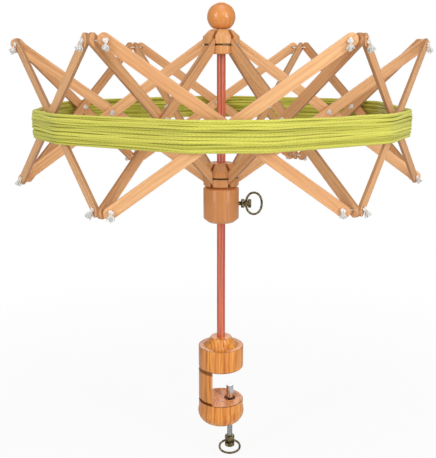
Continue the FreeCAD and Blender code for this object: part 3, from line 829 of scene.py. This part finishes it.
class SWIFT_OT_clamp_screw(bpy.types.Operator):
    """Clamp screw with its swivelling tip, spool knob and oval ring"""

    bl_idname = "swift.clamp_screw"
    bl_label = "Clamp screw"

    def execute(self, context):
        at = FORWARD * (SCREW_X * MM)
        rod = moved(thread("threaded_rod", SCREW_R, -117.4, -35.8, SCREW_PITCH), at)
        dressed(rod, "steel", "clamp_screw", "clamp_screw")
        rings = [(4.15, -35.5), (4.15, -51), (5.0, -51), (5.25, -50.7), (5.25, -34), (5.05, -33.8)]
        rings += [(5.05, -33.3), (5.25, -33.1), (5.25, -30.8)]
        arc_on(rings, (5.02, -30.23), (4.45, -30), 5)
        tip = moved(turned("swivel_tip", rings, 64), at)
        dressed(tip, "chrome", "clamp_pad", "clamp_pad")
        knob = pierced_knob("clamp_spool", spool_rings(7.25, 8.0, 9.0), 0.25, 40)
        ring = oval_ring("clamp_loop")
        for piece, body, node in ((knob, "clamp_screw", "clamp_knob"), (ring, "clamp_ring", "clamp_ring")):
            moved(piece, at + UP * (KNOB_Z * MM))
            dressed(piece, "antique_brass", body, node)
        return {"FINISHED"}


class SWIFT_OT_post(bpy.types.Operator):
    """Stained post and the wooden ball on top of it"""

    bl_idname = "swift.post"
    bl_label = "Post and ball"

    def execute(self, context):
        low, high = (corner.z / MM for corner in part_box("shaft"))
        parts, edge = 12, 0.6
        levels = [low + edge, *(low + (high - low) * part / parts for part in range(1, parts)), high - edge]
        rings = [(POST_R - edge, low), *((POST_R, level) for level in levels), (POST_R - edge, high)]
        post = turned("stained_post", rings, 64)
        grained(post, UP, FORWARD, 0.31)
        dressed(post, "shaft_wood", "post", "shaft")
        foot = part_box("finial")[0].z / MM
        middle = foot + math.sqrt(BALL_R ** 2 - BALL_FOOT_R ** 2)
        rings = [(6.03, foot + 14), (6.03, foot + 0.4), (6.4, foot), (10.5, foot)]
        start, end, steps = math.asin((foot + 0.3 - middle) / BALL_R), math.radians(88), 40
        for step in range(steps + 1):
            angle = start + (end - start) * step / steps
            rings.append((BALL_R * math.cos(angle), middle + BALL_R * math.sin(angle)))
        ball = turned("turned_ball", rings, 96)
        grained(ball, UP, FORWARD, 0.77)
        scorched_and_shaded(ball, lambda centre, normal: 0.5 if centre.z < foot + 0.35 else 0.0)
        dressed(ball, "ball_wood", "post", "finial")
        return {"FINISHED"}


def hub(name, pivot, side, shift, tone_and_shade):
    """Bored hub with its wire groove and six slots."""
    foot = pivot - HUB_PIVOT_HEIGHT
    top = foot + HUB_HEIGHT
    groove_foot, groove_top = pivot - GROOVE_HALF, pivot + GROOVE_HALF
    rings = [(HUB_POCKET_R, foot), (24.0, foot), (HUB_R, foot + 0.7), (HUB_R, groove_foot)]
    rings += [(GROOVE_R, groove_foot), (GROOVE_R, groove_top), (HUB_R, groove_top)]
    rings += [(HUB_R, top - 9.7), (24.4, top - 8.6), (15.9, top - 0.45), (15.0, top), (6.6, top)]
    rings += [(BORE_R, top - 0.4), (BORE_R, foot + 5), (HUB_POCKET_R, foot + 5)]
    body = turned(name, rings, 120, bored=True)
    slots = []
    for arm in ARMS:
        out = outward(arm)
        middle = out * 21.5 + turned_level(out, 90) * (side * LAYER / 2) + UP * (foot + 16)
        slots.append(moved(block("slot", (16, 4.4, 40)), middle * MM, out))
    cut(body, joined("slots", *slots))
    eased(body, 0.3)
    grained(body, UP, FORWARD, shift, tone_and_shade)

    def burn_and_shade(centre, normal):
        radius = math.hypot(centre.x, centre.y)
        # painted shade: the wire's groove is darkened almost black, and the slot walls below the shoulder a
        # little
        if 21 < radius < 24.3 and abs(centre.z - pivot) < 1.3:
            return 0.85
        return 0.22 if 13 < radius < 23.9 and abs(normal.z) < 0.3 and centre.z < top - 9.5 else 0.0

    return scorched_and_shaded(body, burn_and_shade)


def twisted_tail(name, pivot):
    """The wire's two ends, twisted together beside a slot."""
    middle = turned_level(outward(1), -69.42)
    across = turned_level(middle, 90)
    steps, turns, swing = 16, 1.6, 0.55
    ends = []
    for strand in (0, math.pi):
        points = []
        for step in range(steps + 1):
            share = step / steps
            angle = strand + share * turns * CIRCLE
            bow = across * (share * 2.5 + swing * math.cos(angle)) + UP * (swing * math.sin(angle) - share)
            points.append((middle * (23.6 + 3.0 * share) + bow + UP * pivot) * MM)
        ends.append(even(points))
    return cords(name, ends, 0.5, 6)


class SWIFT_OT_hubs(bpy.types.Operator):
    """Two slotted hubs with the wires on which their slats hinge"""

    bl_idname = "swift.hubs"
    bl_label = "Hubs"

    def execute(self, context):
        # painted shade: the lower hub's tone of 0.5 darkens it, as it lies in shade under the lattice and the
        # skein
        for name, pivot, side, tone_and_shade in (("upper", UPPER_HUB_Z, 1, 0.0), ("lower", LOWER_HUB_Z, -1, 0.5)):
            body = hub(f"{name}_block", pivot, side, 0.5 + 0.1 * side, tone_and_shade)
            dressed(body, "hub_wood", f"{name}_hub", f"{name}_hub")
            wire = added(
                f"{name}_wire", bpy.ops.mesh.primitive_torus_add, major_segments=120, minor_segments=10,
                major_radius=WIRE_RING_R * MM, minor_radius=WIRE_R * MM, location=(0, 0, pivot * MM),
            )
            smooth(wire, 60)
            wire = joined(f"{name}_wire", wire, twisted_tail(f"{name}_twist", pivot))
            dressed(wire, "antique_brass", f"{name}_hub", f"{name}_hub_wire")
        return {"FINISHED"}


class SWIFT_OT_collar(bpy.types.Operator):
    """Sliding collar with its thumb screw and ring"""

    bl_idname = "swift.collar"
    bl_label = "Collar"

    def execute(self, context):
        foot, top = (corner.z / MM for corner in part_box("collar"))
        rings = [(6.6, foot), (17.8, foot), (18.8, foot + 0.3), (24.4, foot + 4.9), (COLLAR_R, foot + 6.2)]
        rings += [(COLLAR_R, foot + 30), (COLLAR_R, top - 4.2), (24.6, top - 3.3), (19.0, top - 0.35)]
        rings += [(17.8, top), (6.6, top), (BORE_R, top - 0.4), (BORE_R, foot + 0.4)]
        body = turned("turned_collar", rings, 120, bored=True)
        level = foot + COLLAR_SCREW_H
        cut(body, drill(4.52, 30, (27, 0, level), FORWARD), drill(3.2, 30, (20, 0, level), FORWARD))
        eased(body, 0.25)
        grained(body, UP, FORWARD, 0.91)

        def burn_and_shade(centre, normal):
            # painted shade in the thumb screw's hole and round its mouth
            beside = max(abs(centre.z - level), abs(centre.y))
            return 0.6 if centre.x > 24 and beside < 4.8 else 0.0

        scorched_and_shaded(body, burn_and_shade)
        dressed(body, "collar_wood", "collar", "collar")
        rings = spool_rings(6.25, 7.0, 7.4) + [(3.3, 7.0), (2.95, 7.2)]
        for turn in range(3):
            rings += [(2.65, 7.6 + turn), (2.95, 8.1 + turn)]
        rings += [(2.95, 28.3), (2.5, 28.9)]
        screw = pierced_knob("thumb_screw", rings, 0.2, 50)
        ring = oval_ring("collar_loop")
        for piece, node in ((screw, "collar_screw"), (ring, "collar_ring")):
            moved(piece, Vector((COLLAR_KNOB_X, 0, level)) * MM, UP, -FORWARD)
            dressed(piece, "antique_brass", node, node)
        return {"FINISHED"}


def slat_model():
    """Slat along X from its first hole, with round ends, three holes and soft edges."""
    size = (SLAT_LENGTH + 2 * SLAT_TAIL, SLAT_WIDTH, SLAT_THICK)
    piece = block("slat", size, (SLAT_LENGTH / 2, 0, 0))
    bpy.ops.object.mode_set(mode="EDIT")
    bpy.ops.mesh.select_mode(type="EDGE")
    bpy.ops.mesh.select_all(action="DESELECT")
    bpy.ops.object.mode_set(mode="OBJECT")
    for edge in piece.data.edges:
        first, last = (piece.data.vertices[index].co for index in edge.vertices)
        edge.select = abs(first.z - last.z) > 0.5 * SLAT_THICK * MM
    bpy.ops.object.mode_set(mode="EDIT")
    bpy.ops.mesh.bevel(offset=SLAT_END_ROUND * MM, segments=9, affect="EDGES")
    bpy.ops.object.mode_set(mode="OBJECT")
    cut(piece, *[drill(SLAT_HOLE_R, 10, (x, 0, 0), UP, 24) for x in (0, SLAT_LENGTH / 2, SLAT_LENGTH)])
    eased(piece, 0.5)
    # painted shade: the narrow sides of every slat are darkened, for the shade along their edges
    scorched_and_shaded(piece, lambda centre, normal: 0.5 if abs(normal.z) < 0.8 else 0.0)
    return grained(piece, FORWARD, SIDEWAYS)


def slat_places(arm):
    """Start, direction and outward side of an arm's two slats and of the two of the panel beside it."""
    span = HINGES["lower_corner_1_hinge"] - HINGES["fold"]
    level, climb = math.hypot(span.x, span.y) / span.length, -span.z / span.length
    ways = (("down", UPPER_HUB_Z, 1, -climb), ("up", LOWER_HUB_Z, -1, climb))
    out = outward(arm)
    across = turned_level(out, 90)
    places = []
    for way, hub_z, side, rise in ways:
        start = out * HINGES["fold"].xy.length + across * (side * LAYER / 2 * MM) + UP * (hub_z * MM)
        places.append((f"arm_{way}_{arm}", f"arm_slat_{way}_{arm}", start, out * level + UP * rise, across))
    for way, hub_z, side, rise in ways:
        standoff = PANEL_STANDOFF + (LAYER if way == "up" else 0)
        start, normal = beside_corner(arm, True, hub_z * MM, HINGE_SPREAD, standoff)
        along = UP.cross(normal) * level + UP * rise
        places.append((f"panel_{way}_{arm}", f"panel_slat_{way}_{arm}", start, along, normal))
    return places


class SWIFT_OT_slats(bpy.types.Operator):
    """Twelve arm slats and twelve slats of the outer lattice"""

    bl_idname = "swift.slats"
    bl_label = "Slats"

    def execute(self, context):
        chance = random.Random(7)
        model = slat_model()
        for body, node, start, along, across in [place for arm in ARMS for place in slat_places(arm)]:
            slat = model.copy()
            slat.data = model.data.copy()
            slat.name = slat.data.name = f"{body}_slat"
            bpy.context.scene.collection.objects.link(slat)
            shift, tone_and_shade = chance.uniform(0.0, 9.0), chance.choice((0.0, 0.0, 0.08, 0.16, 0.3))
            grained(slat, FORWARD, SIDEWAYS, shift, tone_and_shade)
            moved(slat, start, along, across)
            dressed(slat, "slat_wood", body, node)
        bpy.data.objects.remove(model)
        return {"FINISHED"}


def beside(axis):
    """Two directions square to an axis and to each other."""
    first = axis.orthogonal().normalized()
    return first, axis.cross(first)


def knot_path(centre, axis, turn):
    """Overhand knot about a string's end, closed on itself."""
    first, second = beside(axis)
    points = []
    for step in range(KNOT_STEPS):
        angle = CIRCLE * step / KNOT_STEPS
        x = KNOT_SIZE * (math.sin(angle) + 2 * math.sin(2 * angle))
        y = KNOT_SIZE * (math.cos(angle) - 2 * math.cos(2 * angle))
        z = -KNOT_DEPTH * math.sin(3 * angle)
        spun_x = x * math.cos(turn) - y * math.sin(turn)
        spun_y = x * math.sin(turn) + y * math.cos(turn)
        points.append(centre + (first * spun_x + second * spun_y + axis * z) * MM)
    return points, [KNOT_SHARE] * KNOT_STEPS, True


def tuft_paths(start, axis, length, chance):
    """Frayed ends that spread from a knot and droop."""
    first, second = beside(axis)
    paths = []
    for _ in range(TUFT_FIBRES):
        angle = chance.uniform(0, CIRCLE)
        spread = chance.uniform(0.0, 1.6)
        lean = (axis + (first * math.cos(angle) + second * math.sin(angle)) * spread).normalized()
        reach = length * chance.uniform(0.6, 1.0)
        fall = chance.uniform(0.1, 0.5)
        steps = [lean * share - UP * (fall * share ** 2) for share in (0.0, 0.5, 1.0)]
        points = [start + step * (reach * MM) for step in steps]
        paths.append((points, [1.15, 1.1, 0.7], False))
    return paths


def tie(name, route, body, node, chance, tufts, hang=0.0):
    """String along a route, with a knot at each end and frayed tufts beyond, which may hang."""
    paths = [even(route)]
    fibres = []
    for end, before, tuft in ((route[0], route[1], tufts[0]), (route[-1], route[-2], tufts[1])):
        axis = (end - before).normalized()
        paths.append(knot_path(end, axis, chance.uniform(0, 2)))
        start = end + axis * (0.8 * MM)
        if hang:
            side = axis.cross(UP) * chance.uniform(-0.15, 0.15)
            bend = start + (axis * 1.3 - UP * (0.3 * hang)) * MM
            foot = start + ((axis + side) * 1.6 - UP * hang) * MM
            paths.append(([start, bend, foot], [1.1, 1.1, 1.0], False))
            start = foot + UP * (0.25 * hang * MM)
            axis = (axis * 0.25 - UP).normalized()
        fibres += tuft_paths(start, axis, tuft, chance)
    string = cords(name, paths, STRING_R, kind="NURBS")
    piece = joined(name, string, cords(f"{name}_fibres", fibres, 0.75, 4))
    return dressed(piece, "cotton_string", body, node)


class SWIFT_OT_corner_ties(bpy.types.Operator):
    """Knotted strings that hinge the slats at the twelve corners"""

    bl_idname = "swift.corner_ties"
    bl_label = "Corner ties"

    def execute(self, context):
        chance = random.Random(21)
        knot_out, slat_back, arm_side = 3.45 * MM, 3.6 * MM, 2.95 * MM
        for arm in ARMS:
            for place, upper, side, hang in (("upper", True, -1, 5.0), ("lower", False, 1, 2.0)):
                z = HINGES[f"{place}_corner_{arm}_hinge"].z
                lifts = (LAYER, 0) if upper else (0, LAYER)
                left, left_out = beside_corner(arm, False, z, HINGE_SPREAD, PANEL_STANDOFF + lifts[0])
                right, right_out = beside_corner(arm, True, z, HINGE_SPREAD, PANEL_STANDOFF + lifts[1])
                across = turned_level(outward(arm), 90)
                middle = corner_out(arm) + across * (side * LAYER / 2 * MM) + UP * z
                turn = beside_corner(arm, upper, z, 2.95, PANEL_STANDOFF - SLAT_THICK / 2 - 2.0)[0]
                route = [left + left_out * knot_out, left - left_out * slat_back]
                route += [middle - across * arm_side, middle + across * arm_side]
                route += [right - right_out * slat_back, right + right_out * knot_out]
                route.insert(4 if upper else 2, turn)
                tufts = (chance.uniform(5.4, 7.4), chance.uniform(5.4, 7.4))
                body, node = f"{place}_corner_{arm}", f"{place}_corner_tie_{arm}"
                tie(f"{place}_tie_{arm}", route, body, node, chance, tufts, hang)
        return {"FINISHED"}


def crossing_tie(name, middle, side, body, node, chance, tufts):
    """String through the middle of a crossing, square to its slats."""
    reach = (SLAT_THICK + 1.8) * MM
    route = [middle + side * (reach * share) for share in (-1, -0.3, 0.3, 1)]
    tie(name, route, body, node, chance, tufts)


class SWIFT_OT_crossing_ties(bpy.types.Operator):
    """Knotted strings at the crossings of the arms and of the lattice"""

    bl_idname = "swift.crossing_ties"
    bl_label = "Crossing ties"

    def execute(self, context):
        chance = random.Random(33)
        for arm in ARMS:
            body, node = f"arm_down_{arm}", f"arm_slat_down_{arm}"
            middle, across = HINGES[f"arm_cross_{arm}_hinge"], turned_level(outward(arm), 90)
            crossing_tie(f"arm_tie_{arm}", middle, across, body, node, chance, (3.0, 4.0))
            body, node = f"waist_{arm}", f"waist_tie_{arm}"
            low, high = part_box(node)
            middle, normal = (low + high) / 2, panel_out(arm)
            crossing_tie(f"waist_knot_{arm}", middle, normal, body, node, chance, (3.5, 1.2))
        return {"FINISHED"}


def loop_parts(apothem):
    """Half a panel of a loop: the radius of its bend, its flat before the bend and its straight rest."""
    bend = SKEIN_BEND + apothem - SKEIN_OUTER
    tangent = bend * math.tan(PANEL_TURN / 2)
    return bend, SKEIN_FLAT - tangent, 0.5 * apothem - SKEIN_FLAT * math.cos(PANEL_TURN) - tangent


def loop_point(apothem, share, side):
    """Point of the skein's loop as (out, along) in a panel, from the panel's middle to its arm."""
    bend, flat, rest = loop_parts(apothem)
    curve = bend * PANEL_TURN
    length = share * (flat + curve + rest)
    if length < flat:
        return apothem, side * length
    if length < flat + curve:
        angle = (length - flat) / bend
        return apothem - bend + bend * math.cos(angle), side * (flat + bend * math.sin(angle))
    straight = length - flat - curve
    out = apothem - bend * (1 - math.cos(PANEL_TURN)) - straight * 0.5
    return out, side * (flat + bend * 0.5 + straight * math.cos(PANEL_TURN))


def strand_places(rows, thick, chance):
    """Strands as (apothem, height, looseness, tone): a sheet outside with tones at random, one inside
    darkened as painted shade, and one between darkened further as painted shade.
    """
    half = SKEIN_HALF - thick / 2
    places = []
    for row in range(rows):
        height = half * (2 * row / (rows - 1) - 1)
        crown = 1.3 * (height / half) ** 4
        places.append((SKEIN_OUTER - thick / 2 - 0.55 - crown, height, 1.0, chance.choice(SKEIN_TONES)))
        # painted shade: the inner sheet is darker, as it lies in shade inside the skein
        places.append((SKEIN_INNER + thick / 2 + 0.3, height * 0.97, 0.7, chance.uniform(0.1, 0.4)))
    for row in range(rows - 1):
        height = half * ((2 * row + 1) / (rows - 1) - 1)
        # painted shade: the sheet between is darker still, seen in the gaps of the outer sheet
        places.append((SKEIN_OUTER - thick - 0.9, height * 0.96, 0.5, chance.uniform(0.55, 0.85)))
    return places


def strand_points(place, waves, panel, side, thick, wander):
    """Points of one strand over half a panel, off its place by waves that close round the whole loop."""
    apothem, height, loose = place[:3]
    half = SKEIN_HALF - thick / 2
    normal = panel_out(panel)
    chord = UP.cross(normal)
    points = []
    for step in range(SKEIN_SECTIONS + 1):
        share = step / SKEIN_SECTIONS
        around = PANEL_TURN * (2 * panel - 1 + side * share)
        rise, push = (
            sum(math.sin(wave[0] * around + wave[phase]) / (1 + wave[0] * 0.12) for wave in waves)
            for phase in (1, 2)
        )
        level = max(-half, min(half, height + rise * (0.55 * wander * loose)))
        reach = min(apothem + push * (0.28 * wander * loose), SKEIN_OUTER - thick / 2)
        out, along = loop_point(reach, share, side)
        points.append((normal * out + chord * along + UP * (SKEIN_Z + level)) * MM)
    return points


def skein_core(side):
    """Solid under the strands of half a panel, in the panel's own directions, in full painted shade where it
    shows between them.
    """
    inner, outer, height = SKEIN_INNER + 1.6, SKEIN_OUTER - 2.6, 30.8
    middle = ((inner + outer) / 2 * MM, 0, 0)
    upright = (math.pi / 2, 0, 0)
    core = added("core", bpy.ops.mesh.primitive_plane_add, size=1, location=middle, rotation=upright)
    edit_all()
    bpy.ops.transform.resize(value=((outer - inner) * MM, 1, height * MM), center_override=middle)
    bend, flat, rest = loop_parts(outer)
    bpy.ops.mesh.extrude_region_move(TRANSFORM_OT_translate={"value": (0, side * flat * MM, 0)})
    bpy.ops.mesh.spin(
        steps=5, angle=-side * PANEL_TURN, center=((outer - bend) * MM, side * flat * MM, 0), axis=(0, 0, 1)
    )
    end = Vector((-0.5, side * math.cos(PANEL_TURN), 0)) * (rest * MM)
    bpy.ops.mesh.extrude_region_move(TRANSFORM_OT_translate={"value": end})
    close_up(weld=True)
    # painted shade: the core takes the darkest tone
    written(core, "tone_and_shade", 1.0)
    return core


def gathered(piece, normal):
    """Gives half a panel of the skein a mesh of its own."""
    anchor = (normal * SKEIN_OUTER + UP * SKEIN_Z) * MM
    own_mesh(piece)


def stray_end():
    """Loose end of the yarn that hangs from the skein."""
    way = turned_level(outward(1), 3)
    start = way * (SKEIN_OUTER * math.cos(PANEL_TURN) + SKEIN_FLAT / 2 - 3) + UP * (SKEIN_Z - 6)
    falls = ((0.0, 0.0), (2.4, 0.6), (5.2, 2.2), (5.8, 6.0), (4.6, 9.0))
    points = [(start + way * out - UP * down) * MM for out, down in falls]
    end = cords("stray_end", [(points, [1.0, 1.0, 0.9, 0.8, 0.4], False)], 0.8, kind="NURBS")
    written(end, "tone_and_shade", 0.15)
    dressed(end, "yarn", "waist_1", "yarn_skein")
    gathered(end, panel_out(1))


class SWIFT_OT_skein(bpy.types.Operator):
    """Skein of yarn round the waist, in twelve lengths"""

    bl_idname = "swift.skein"
    bl_label = "Skein"

    def execute(self, context):
        settings = context.scene.swift_yarn
        chance = random.Random(5)
        thick = settings.thickness / MM
        wander = settings.wander / MM
        places = strand_places(settings.strands, thick, chance)
        waves = [
            [(count, chance.uniform(0, CIRCLE), chance.uniform(0, CIRCLE)) for count in SKEIN_WAVES]
            for _ in places
        ]
        for panel in ARMS:
            for side, word in ((-1, "left"), (1, "right")):
                paths = [
                    even(strand_points(place, swing, panel, side, thick, wander))
                    for place, swing in zip(places, waves)
                ]
                name = f"skein_{panel}_{word}"
                strands = cords(name, paths, thick / 2, fill=False)
                per_strand = len(strands.data.vertices) // len(places)
                written(strands, "tone_and_shade", np.repeat([place[-1] for place in places], per_strand))
                core = moved(skein_core(side), UP * (SKEIN_Z * MM), panel_out(panel))
                piece = joined(name, strands, core)
                edit_all()
                close_up()
                smooth(piece, 60)
                dressed(piece, "yarn", f"waist_{panel}", "yarn_skein")
                gathered(piece, panel_out(panel))
        stray_end()
        return {"FINISHED"}


def pale_floor():
    """Pale floor that looks white to the camera, and whiter far away."""
    gap = bpy.context.scene.swift_studio.gap
    floor = added(
        "floor", bpy.ops.mesh.primitive_circle_add,
        vertices=128, radius=14.0, fill_type="NGON", location=(0, 0, CAD_BOX[0].z - gap),
    )
    finish = new_finish("floor")
    sight = finish.node("ShaderNodeLightPath", {}, {}, "Is Camera Ray")
    place = finish.place()
    away = finish.vector("LENGTH", place, out="Value")
    shade = finish.mixed((0.84, 0.84, 0.84, 1), (0.88, 0.88, 0.88, 1), finish.noise(place, 2.0, 3.0))
    matt = finish.node("ShaderNodeBsdfDiffuse", {}, {"Color": shade})
    glow = finish.node("ShaderNodeEmission", {}, {"Color": (1, 1, 1, 1), "Strength": 1.0})
    share = sight * (away.rise(0.3, 1.1) * 0.1 + 0.9)
    both = finish.node("ShaderNodeMixShader", {}, {0: share, 1: matt, 2: glow})
    finish.node("ShaderNodeOutputMaterial", {}, {"Surface": both})
    floor.data.materials.append(finish.owner)


def white_room():
    """White world that gives a steady light and a little more to glossy faces."""
    scene = bpy.context.scene
    light = scene.swift_studio.room
    scene.world = bpy.data.worlds.new("room")
    room = Finish(scene.world)
    camera_ray = room.node("ShaderNodeLightPath", {}, {}, "Is Camera Ray")
    glossy_ray = room.node("ShaderNodeLightPath", {}, {}, "Is Glossy Ray")
    strength = camera_ray * (1 - light) + glossy_ray * 0.05 + light
    sky = room.node("ShaderNodeBackground", {}, {"Color": (1, 1, 1, 1), "Strength": strength})
    room.node("ShaderNodeOutputWorld", {}, {"Surface": sky})


def area_lamp(name, azimuth, elevation, watts, width, height=None):
    """Soft lamp that looks at the swift from its angles, in degrees, square or with a height of its own."""
    turn, level = math.radians(azimuth), math.radians(elevation)
    away = Vector((math.sin(turn) * math.cos(level), -math.cos(turn) * math.cos(level), math.sin(level)))
    target, distance = Vector((0, 0, 0.25)), 1.7
    bpy.ops.object.select_all(action="DESELECT")
    bpy.ops.object.light_add(
        type="AREA", location=target + away * distance, rotation=away.to_track_quat("Z", "Y").to_euler()
    )
    lamp = bpy.context.active_object
    lamp.name = name
    lamp.data.energy = watts
    lamp.data.size = width
    if height:
        lamp.data.shape = "RECTANGLE"
        lamp.data.size_y = height


class SWIFT_OT_studio(bpy.types.Operator):
    """Pale floor, soft lamps, white room and the camera"""

    bl_idname = "swift.studio"
    bl_label = "Studio"

    def execute(self, context):
        settings = context.scene.swift_studio
        context.scene.view_settings.view_transform = "Standard"
        pale_floor()
        white_room()
        area_lamp("key_lamp", 16, 30, settings.key_lamp, 1.0)
        area_lamp("left_lamp", -44, 12, settings.side_lamp * 0.85, 0.3, 1.26)
        area_lamp("right_lamp", 44, 12, settings.side_lamp, 0.3, 1.26)
        area_lamp("top_lamp", 0, 76, settings.top_lamp, 1.1)
        area_lamp("back_lamp", 180, 28, settings.back_lamp, 1.0)
        look_down = 13.13
        bpy.ops.object.camera_add(
            location=(-0.0044, -1.013, 0.4451), rotation=(math.radians(90 - look_down), 0, 0)
        )
        camera = context.active_object
        camera.data.lens = 57.45
        camera.data.sensor_width = 36.0
        context.scene.camera = camera
        return {"FINISHED"}


OPERATORS = (
    SWIFT_OT_clamp,
    SWIFT_OT_clamp_screw,
    SWIFT_OT_post,
    SWIFT_OT_hubs,
    SWIFT_OT_collar,
    SWIFT_OT_slats,
    SWIFT_OT_corner_ties,
    SWIFT_OT_crossing_ties,
    SWIFT_OT_skein,
    SWIFT_OT_studio,
)

GROUPS = {
    "swift_timber": SwiftTimber,
    "swift_metals": SwiftMetals,
    "swift_yarn": SwiftYarn,
    "swift_studio": SwiftStudio,
}


class SWIFT_PT_panel(bpy.types.Panel):
    """Sizes, colours and pieces of the swift"""

    bl_idname = "SWIFT_PT_panel"
    bl_label = "Umbrella Swift"
    bl_space_type = "VIEW_3D"
    bl_region_type = "UI"
    bl_category = "Swift"

    def draw(self, context):
        for name, group in GROUPS.items():
            box = self.layout.box()
            box.label(text=group.__doc__)
            for prop in group.__annotations__:
                box.prop(getattr(context.scene, name), prop)
        for operator in OPERATORS:
            self.layout.operator(operator.bl_idname)


def register():
    for name, group in GROUPS.items():
        bpy.utils.register_class(group)
        setattr(bpy.types.Scene, name, PointerProperty(type=group))
    for cls in (*OPERATORS, SWIFT_PT_panel):
        bpy.utils.register_class(cls)


def unregister():
    for cls in reversed((*OPERATORS, SWIFT_PT_panel)):
        bpy.utils.unregister_class(cls)
    for name, group in GROUPS.items():
        delattr(bpy.types.Scene, name)
        bpy.utils.unregister_class(group)


def main():
    register()
    bpy.ops.swift.clamp()
    bpy.ops.swift.clamp_screw()
    bpy.ops.swift.post()
    bpy.ops.swift.hubs()
    bpy.ops.swift.collar()
    bpy.ops.swift.slats()
    bpy.ops.swift.corner_ties()
    bpy.ops.swift.crossing_ties()
    bpy.ops.swift.skein()
    bpy.ops.swift.studio()


if __name__ == "__main__":
    main()
